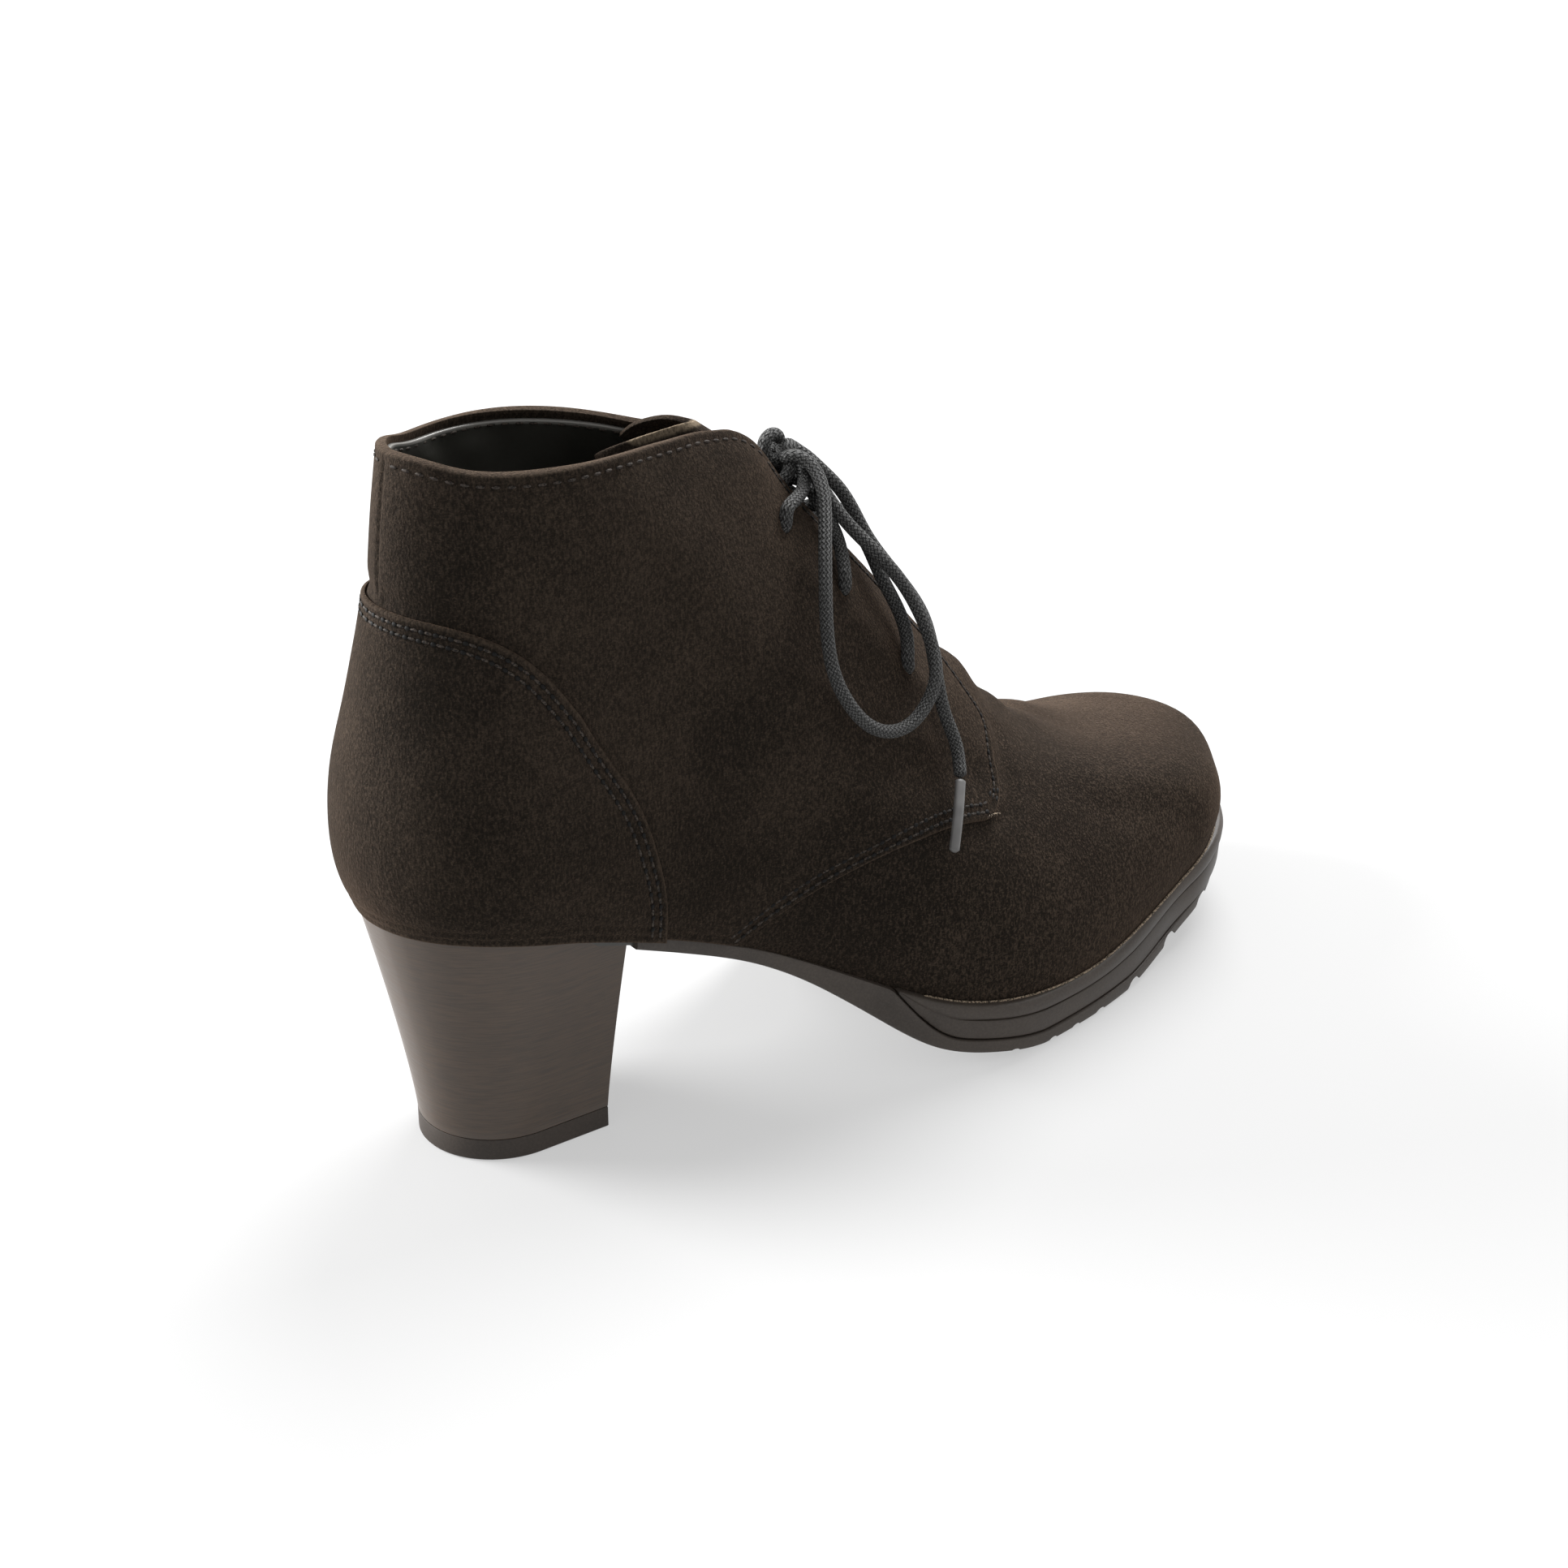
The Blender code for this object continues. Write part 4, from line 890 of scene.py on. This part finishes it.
def sew(bm, line, lift, settings, skip=0.0, first=0.5):
    g, v = line.T
    points = skinAt(g, v, lift + moreAt(lastAt(g, v)))
    ups = unit(skinAt(g, v, lift + 1) - skinAt(g, v, lift))
    runs = runsOf(points)
    for at in np.arange(skip + settings["pitch"] * first, runs[-1] - skip, settings["pitch"]):
        middle, before, after = (between(points, runs, at + step) for step in (0, -0.5, 0.5))
        ahead = unit(after - before)
        side = unit(np.cross(between(ups, runs, at), ahead))
        turn = np.stack([ahead * settings["length"] / 2, side * settings["width"],
                         np.cross(ahead, side) * settings["height"], middle], axis=1)
        bmesh.ops.create_uvsphere(bm, u_segments=6, v_segments=5, radius=1,
                                  matrix=Matrix([*map(tuple, turn), (0, 0, 0, 1)]) @ lengthwise)


def aboveFoot(line):
    return line[line[:, 1] > footLevel(line[:, 0]) + stitch["overFoot"]]


counterLine = joined(counterSide, counterTop[1:])
seamPart = seamLine[seamLine[:, 0] < stitch["seamEnd"]]
flapLine = joined(seamLine[seamLine[:, 0] > stitch["flapStart"]], facingLine[1:])
counterThread = upper["counterLift"] - stitch["counterPull"]
panelThread = upper["panelLift"] - stitch["panelPull"]
collarLift = upper["panelLift"] - stitch["collarPull"]
sewn = [(aboveFoot(insetLine(counterLine, inset)), counterThread) for inset in stitch["counterRows"]]
sewn += [(aboveFoot(insetLine(seamPart, inset)), panelThread) for inset in stitch["seamRows"]]
sewn += [(insetLine(flapLine, stitch["flapRow"]), panelThread)]
rows, holes = bmesh.new(), bmesh.new()
for flip in flips.values():
    for line, lift in sewn:
        sew(rows, flip(line), lift, stitch)
        sew(holes, flip(line), lift + stitch["holeShadeLift"], holeShadeMarks, first=1.0)
# the dark capsules between the thread capsules are painted shade of the needle holes
makePiece("stitchHoleShade", holes, holeShadeAndTacks, merge=stitch["merge"])
makePiece("seamStitches", rows, thread, merge=stitch["merge"])

# Bar tacks at the flaps' corners, and a small tuft of thread on the lateral one
tuftSettings = {
    "around": 5, "step": 0.5, "radius": 0.13, "taper": 0.3, "share": 0.671, "level": 3.95,
    "leans": (-1.6, -0.9, -0.2, 0.5, 1.2), "lifts": (1.0, 1.6, 1.3),
}
tuft = bmesh.new()
for lean in tuftSettings["leans"]:
    start = np.array((tuftSettings["share"] + 0.002 * lean, tuftSettings["level"]))
    curl = np.array((start, start + (0.003 * lean, -0.02), start + (0.005 * lean - 0.002, -0.05)))
    cordMesh(tuft, skinAt(*curl.T, tuftSettings["lifts"]), tuftSettings["radius"], tuftSettings,
             taper=tuftSettings["taper"])
makePiece("threadTuft", tuft, paleEdge, merge=cordMerge)
tack = stitch | {
    "pitch": 2.2, "length": 1.7, "from": 0.681, "to": 0.735, "rows": (1.3, 3.4), "pull": 0.1, "skip": 0.4,
}
corner = flapLine[(flapLine[:, 0] > tack["from"]) & (flapLine[:, 0] < tack["to"])]
tacks = bmesh.new()
for flip in flips.values():
    for inset in tack["rows"]:
        sew(tacks, flip(insetLine(corner, inset)), upper["panelLift"] - tack["pull"], tack, tack["skip"])
makePiece("barTacks", tacks, holeShadeAndTacks, merge=stitch["merge"])


def collarSeam(name, inset, lift, material):  # a row round the collar, both sides in one piece
    bm = bmesh.new()
    for side, flip in flips.items():
        sew(bm, flip(insetLine(collarLines[side], -inset)), lift, stitch, stitch["collarSkip"])
    makePiece(name, bm, material, merge=stitch["merge"])


collarSeam("collarStitches", stitch["collarRow"], collarLift, collarThread)
collarSeam("liningStitches", stitch["liningRow"], stitch["liningLift"], thread)
print("stitches ready")

# Sole and heel: blocks between a lateral and a medial line
sole = {
    "gap": 0.3, "waistBack": -69.5, "platformBack": -6.2, "swoop": (-1.5, 15.0, 2.2),
    "lugLayer": 3.4, "trim": 0.1, "bandTop": 0.1,
    # the sole's underside, x and z from the heel to the toe
    "bottom": ((-70.0, 49.0), (-54.0, 42.3), (-39.0, 35.5), (-22.5, 24.9), (-11.5, 16.1), (0.0, 7.5),
               (9.0, 3.9), (18.0, 2.0), (30.0, 0.1), (48.0, 0.0), (62.0, 0.1), (78.0, 3.2), (94.0, 7.4),
               (110.0, 10.6), (126.0, 12.6)),
    # tucked in towards the waist: how far, to which x and over what run; then how far at the toe
    "waistTuck": (1.4, -20.0, 40.0, 1.3), "platformTuck": (0.6, 8.0, 14.0, 0.0), "toeTuck": (80.0, 25.0),
    "grooveFade": (2.0, 14.0), "rims": (0.8, 1.6),
    # plan: where the edge stands further out or in, x, reach and amount
    "plan": ((1.0, 10.0, 1.3), (20.0, 14.0, 1.5), (52.0, 16.0, 0.4), (82.0, 12.0, -0.7), (118.0, 22.0, 1.4)),
    # height share, outset from the leather's foot, and how much of it is the thin groove; bottom to top
    "band": ((0.0, 0.15, 0), (0.02, 0.5, 0), (0.06, 0.68, 0), (0.3, 0.8, 0), (0.53, 0.8, 0),
             (0.555, 0.8, 0.15), (0.57, 0.8, 0.6), (0.59, 0.85, 0.65), (0.605, 0.9, 0.2), (0.64, 1.1, 0),
             (0.72, 1.4, 0), (0.82, 1.5, 0), (0.91, 1.3, 0), (0.97, 0.9, 0), (1.0, 0.4, 0)),
    "lugs": ((0.0, 0.2, 0), (0.06, 0.6, 0), (0.3, 0.9, 0), (0.7, 0.95, 0), (0.92, 0.9, 0), (0.98, 0.7, 0),
             (1.0, 0.2, 0)),
    # lug cuts: x, radius, and how far their middle is below the sole
    "cuts": ((14.5, 1.4, 0.6), (27.5, 1.75, 0.0), (39.5, 1.5, 0.6), (47.5, 1.5, 0.6), (56.5, 1.8, 0.7),
             (70.5, 2.5, 1.3), (86.5, 2.7, 1.4), (101.5, 2.7, 1.4)),
    "cutTurn": -9.0, "cutLength": 180.0,
}
bottomCurve = naturalSpline(*np.array(sole["bottom"]).T)
footShares = np.linspace(0, 1, 900)
footSides = {side: skinAt(shares, footLevel(footShares), 0.0)
             for side, shares in ((-1, footShares), (1, 2 - footShares))}
featherSide = ringSide(0, -1)


def bottomZ(x):
    return np.maximum(bottomCurve(x) - sole["trim"], 0)


def featherZ(x):
    return np.interp(x, featherSide[:, 0], featherSide[:, 2])


def outsoleTop(x, z):  # under the leather along the waist, then swooping down under the platform
    start, length, power = sole["swoop"]
    run = np.clip((x - sole["platformBack"] - start) / length, 0, 1)
    depth = np.maximum(z - sole["gap"] - bottomZ(x) - sole["lugLayer"], 0)
    return z - sole["gap"] - depth * (1 - (1 - run) ** power)


def outwardOf(slope, side):
    return unit(np.stack([-slope[:, 1], slope[:, 0]], axis=1)) * side


def soleLine(side, fromX, count):  # the leather's foot from a rear station to the toe, with its outward way
    line = footSides[side]
    slope = np.gradient(line[:, :2], axis=0)
    slope[-1] = (0, -side)
    normal = outwardOf(slope, side)
    line = np.concatenate([line, normal], axis=1)[line[:, 0] >= fromX]
    for x, reach, amount in sole["plan"]:
        line[:, :2] += line[:, 3:] * (amount * np.exp(-(((line[:, 0] - x) / reach) ** 2)))[:, None]
    runs = runsOf(line[:, :3])
    return between(line, runs, np.linspace(0, runs[-1], count))


def blockOf(columns, rows, rings):  # top sheet, walls drawn down through the rings, bottom sheet
    bm = bmesh.new()
    alongLayer, acrossLayer = (bm.verts.layers.float.new(name) for name in ("alongShare", "acrossShare"))

    def spots(ring, verts):
        a = np.array([vert[alongLayer] for vert in verts])
        b = np.array([vert[acrossLayer] for vert in verts])
        return ring(a, -1) * (1 - b)[:, None] + ring(a, 1) * b[:, None]

    def sheet(ring):
        made, place = gridOf(bm, columns, rows)
        for vert, (a, b) in zip(made, place):
            vert[alongLayer], vert[acrossLayer] = a, b
        moveTo(made, spots(ring, made))

    sheet(rings[-1])
    rim = [edge for edge in bm.edges if edge.is_boundary]
    for ring in rings[-2::-1]:
        drawn = bmesh.ops.extrude_edge_only(bm, edges=rim)["geom"]
        verts = [item for item in drawn if isinstance(item, bmesh.types.BMVert)]
        moveTo(verts, spots(ring, verts))
        rim = [item for item in drawn if isinstance(item, bmesh.types.BMEdge) and item.is_boundary]
    sheet(rings[0])
    return bm


def soleRings(fromX, profile, tuck, low, high, count=260):  # ends in a rim round a lower top sheet
    lines = {side: soleLine(side, fromX, count) for side in (-1, 1)}
    most, tuckTo, tuckRun, toeTuck = tuck
    (fadeFrom, fadeTo), (toeX, toeRun) = sole["grooveFade"], sole["toeTuck"]

    def ringAt(share, out, groove, sunk=False):
        def ring(a, side):
            line = along(lines[side], a)
            x, z = line[:, 0], line[:, 2]
            fade = np.clip((x - fadeFrom) / (fadeTo - fadeFrom), 0, 1)
            outset = out - groove * fade - np.clip(most / tuckRun * (tuckTo - x), 0, most)
            outset = outset - toeTuck * np.clip((x - toeX) / toeRun, 0, 1)
            plan = line[:, :2] + line[:, 3:] * outset[:, None]
            height = low(x, z) + (high(x, z) - low(x, z)) * share
            if sunk:
                height = np.minimum(height, featherZ(x) - 2 * sole["gap"])
            return np.column_stack([plan, height])
        return ring
    rim, sheet = sole["rims"]
    return [ringAt(*spot) for spot in profile] + [ringAt(1.0, -rim, 0), ringAt(1.0, -sheet, 0, True)]


rings = soleRings(sole["platformBack"], sole["band"], sole["platformTuck"],
                  lambda x, z: outsoleTop(x, z) + sole["gap"], lambda x, z: z + sole["bandTop"])
makePiece("platformBand", blockOf(150, 12, rings), soleRubber, ("platform",), 40)
rings = soleRings(sole["waistBack"], sole["lugs"], sole["waistTuck"], lambda x, z: bottomZ(x), outsoleTop)
outsole = makePiece("outsoleLugs", blockOf(190, 12, rings), soleRubber, ("outsole",), 40)
cuts = bmesh.new()
for x, radius, drop in sole["cuts"]:
    spot = Matrix.Translation((x, float(centreY(x)), float(bottomZ(x)) - drop))
    turn = Matrix.Rotation(math.radians(sole["cutTurn"]), 4, "Z") @ Matrix.Rotation(math.pi / 2, 4, "X")
    bmesh.ops.create_cone(cuts, cap_ends=True, segments=16, radius1=radius, radius2=radius,
                          depth=sole["cutLength"], matrix=spot @ turn)


def cutAway(piece, bm, name):  # takes a helper's volume off a piece
    helper = bpy.data.objects.new(name, meshOf(name, bm))
    bpy.context.scene.collection.objects.link(helper)
    modifier = piece.modifiers.new(name, "BOOLEAN")
    modifier.operation, modifier.solver, modifier.object = "DIFFERENCE", "EXACT", helper
    with bpy.context.temp_override(object=piece, active_object=piece):
        bpy.ops.object.modifier_apply(modifier=name)
    bpy.data.objects.remove(helper)


cutAway(outsole, cuts, "lugCuts")
# a pale, broken line of the leather's cut edge above the platform
edgeSettings = {"around": 6, "step": 0.8, "radius": 0.32, "from": 0.49, "lift": 0.42, "level": 0.03}
edgeShares = np.linspace(edgeSettings["from"], 2 - edgeSettings["from"], 300)
edgeRoute = skinAt(edgeShares, footLevel(edgeShares) + edgeSettings["level"], edgeSettings["lift"])
bm = bmesh.new()
cordMesh(bm, edgeRoute, edgeSettings["radius"], edgeSettings)
makePiece("soleEdge", bm, paleEdge, merge=cordMerge)
print("sole ready")

holeSettings = {"radius": 1.75, "depth": 9.0}
for name, side in (("Lateral", -1), ("Medial", 1)):
    for piece in (bpy.data.objects["quarter" + name], liningPiece):
        holes = bmesh.new()
        for level, run in lace["eyelets"]:
            share = shareAt(level, side * run)
            middle, ahead = skinAt(share, level, 0.0), skinAt(share, level, 1.0)
            turn = Vector(ahead - middle).to_track_quat("Z", "Y").to_matrix().to_4x4()
            bmesh.ops.create_cone(holes, cap_ends=True, segments=20, radius1=holeSettings["radius"],
                                  radius2=holeSettings["radius"], depth=holeSettings["depth"],
                                  matrix=Matrix.Translation(middle) @ turn)
        cutAway(piece, holes, "eyeletHoles")
print("eyelets punched")

heel = {
    "backX": -108.1, "frontX": -71.6, "footHalf": 17.6, "footRound": 18.5, "flare": 1.2, "spread": 1.3,
    "inset": (-1.8, 1.0), "lift": 5.0, "gap": 0.3, "axisY": 4.0, "rings": 26,
    "breast": (1.5, 0.35, 0.6),  # its curve, the rise that stays, and the share where it starts
    "footEdge": (0.3, 0.12), "topUnder": 0.1, "topInsets": (2.2, 2.8),
    "liftEdge": ((0.0, 0.3), (0.35, 0.0)), "liftTop": ((-0.1, 0.0), (0.15, 0.1)),  # heights and roundings
}


def heelRing(rise, height, soft=0.0):  # height(top, low) gives z from the leather's foot and the seat
    def ring(a, side):
        seat = ringSide(0, side, 900)
        seat = along(evenRun(seat[seat[:, 0] < heel["frontX"]], 200), a)
        inset = heel["inset"][0] + (heel["inset"][1] - heel["inset"][0]) * a**2 + soft
        seat[:, 0] += inset * (1 - a)
        seat[:, 1] -= side * inset * np.clip(a * 40, 0, 1)
        reach = heel["frontX"] - heel["backX"]
        run = a ** heel["spread"]
        round_ = np.clip(1 - run * reach / heel["footRound"], 0, 1)
        footX = heel["backX"] + soft * (1 - a) + reach * run
        footY = heel["axisY"] + side * (heel["footHalf"] - soft) * np.sqrt(1 - round_**2)
        plan = np.stack([footX, footY], axis=1)
        plan = plan + (seat[:, :2] - plan) * rise ** heel["flare"]
        curve, still, start = heel["breast"]
        plan[:, 0] += curve * (rise - still) * np.clip((a - start) / (1 - start), 0, 1)
        top = np.interp(seat[:, 0], footSides[side][:, 0], footSides[side][:, 2])
        return np.column_stack([plan, height(top - heel["topUnder"], seat[:, 2] - 2 * heel["gap"])])
    return ring


foot, (edge, soft), (rim, sheet) = heel["lift"] + heel["gap"], heel["footEdge"], heel["topInsets"]
rings = [heelRing(0.0, lambda top, low: np.full(top.shape, foot), soft)]
rings += [heelRing(share, lambda top, low, share=share: foot + edge + (top - foot - edge) * share)
          for share in np.linspace(0, 1, heel["rings"])]
rings += [heelRing(1.0, lambda top, low: top, rim), heelRing(1.0, np.minimum, sheet)]
makePiece("heelBlock", blockOf(70, 12, rings), heelStack, ("heel_block",), 40)
lifts = [*heel["liftEdge"], *((heel["lift"] + z, soft) for z, soft in heel["liftTop"])]
rings = [heelRing(0.0, lambda top, low, z=z: np.full(top.shape, z), soft) for z, soft in lifts]
makePiece("heelTopPiece", blockOf(70, 12, rings), heelRubber, ("heel_top_piece",), 40)
print("heel ready")

insoleSettings = {"inset": 2.4, "lift": 0.4, "thick": 2.2, "edge": 0.4}


def insoleRings(settings):
    lines = {}
    for side in (-1, 1):
        line = ringSide(0, side, 900)
        slope = np.gradient(line[:, :2], axis=0)
        slope[0], slope[-1] = (0, side), (0, -side)
        line[:, :2] -= outwardOf(slope, side) * settings["inset"]
        lines[side] = evenRun(line, 260)

    def ringAt(lift, inset):
        def ring(a, side):
            points = along(lines[side], a)
            points[:, 2] += lift
            points[:, 1] -= side * inset * np.sin(np.pi * a) ** 0.5
            return points
        return ring
    top, edge = settings["lift"] + settings["thick"], settings["edge"]
    return [ringAt(settings["lift"], 0.0), ringAt(top - edge, 0.0), ringAt(top, edge)]


makePiece("insoleSock", blockOf(120, 14, insoleRings(insoleSettings)), lining, ("insole",), 50)
print("insole ready")

# Light, floor and world
bm = bmesh.new()
bmesh.ops.create_grid(bm, x_segments=2, y_segments=2, size=4.0)
floorMesh = bpy.data.meshes.new("studioFloor")
bm.to_mesh(floorMesh)
bm.free()
floorLook = newLook("floorPaper", {
    "Base Color": (0.2, 0.2, 0.2, 1), "Roughness": 0.9, "Specular IOR Level": 0.0,
    "Emission Color": (1, 1, 1, 1), "Emission Strength": 0.48})[0]
floorMesh.materials.append(floorLook)
floor = bpy.data.objects.new("studioFloor", floorMesh)
floor.location = (0, 0, -0.0002)  # just clear of the soles
bpy.context.scene.collection.objects.link(floor)


def softLight(name, place, size, power):
    data = bpy.data.lights.new(name, "AREA")
    data.shape, data.size, data.energy = "DISK", size, power
    aim(bpy.data.objects.new(name, data), place, (0, 0, 0.06))


softLight("keyBehind", (0.74, 0.44, 1.15), 1.0, 43)
softLight("leftBox", (-0.95, 0.95, 0.75), 0.8, 49)
softLight("lowLeft", (-0.80, 1.05, 0.28), 0.7, 15)
world = bpy.data.worlds.new("studio")
world.use_nodes = True
background = world.node_tree.nodes["Background"].inputs
background["Color"].default_value, background["Strength"].default_value = (1, 1, 1, 1), 0.8
bpy.context.scene.world = world
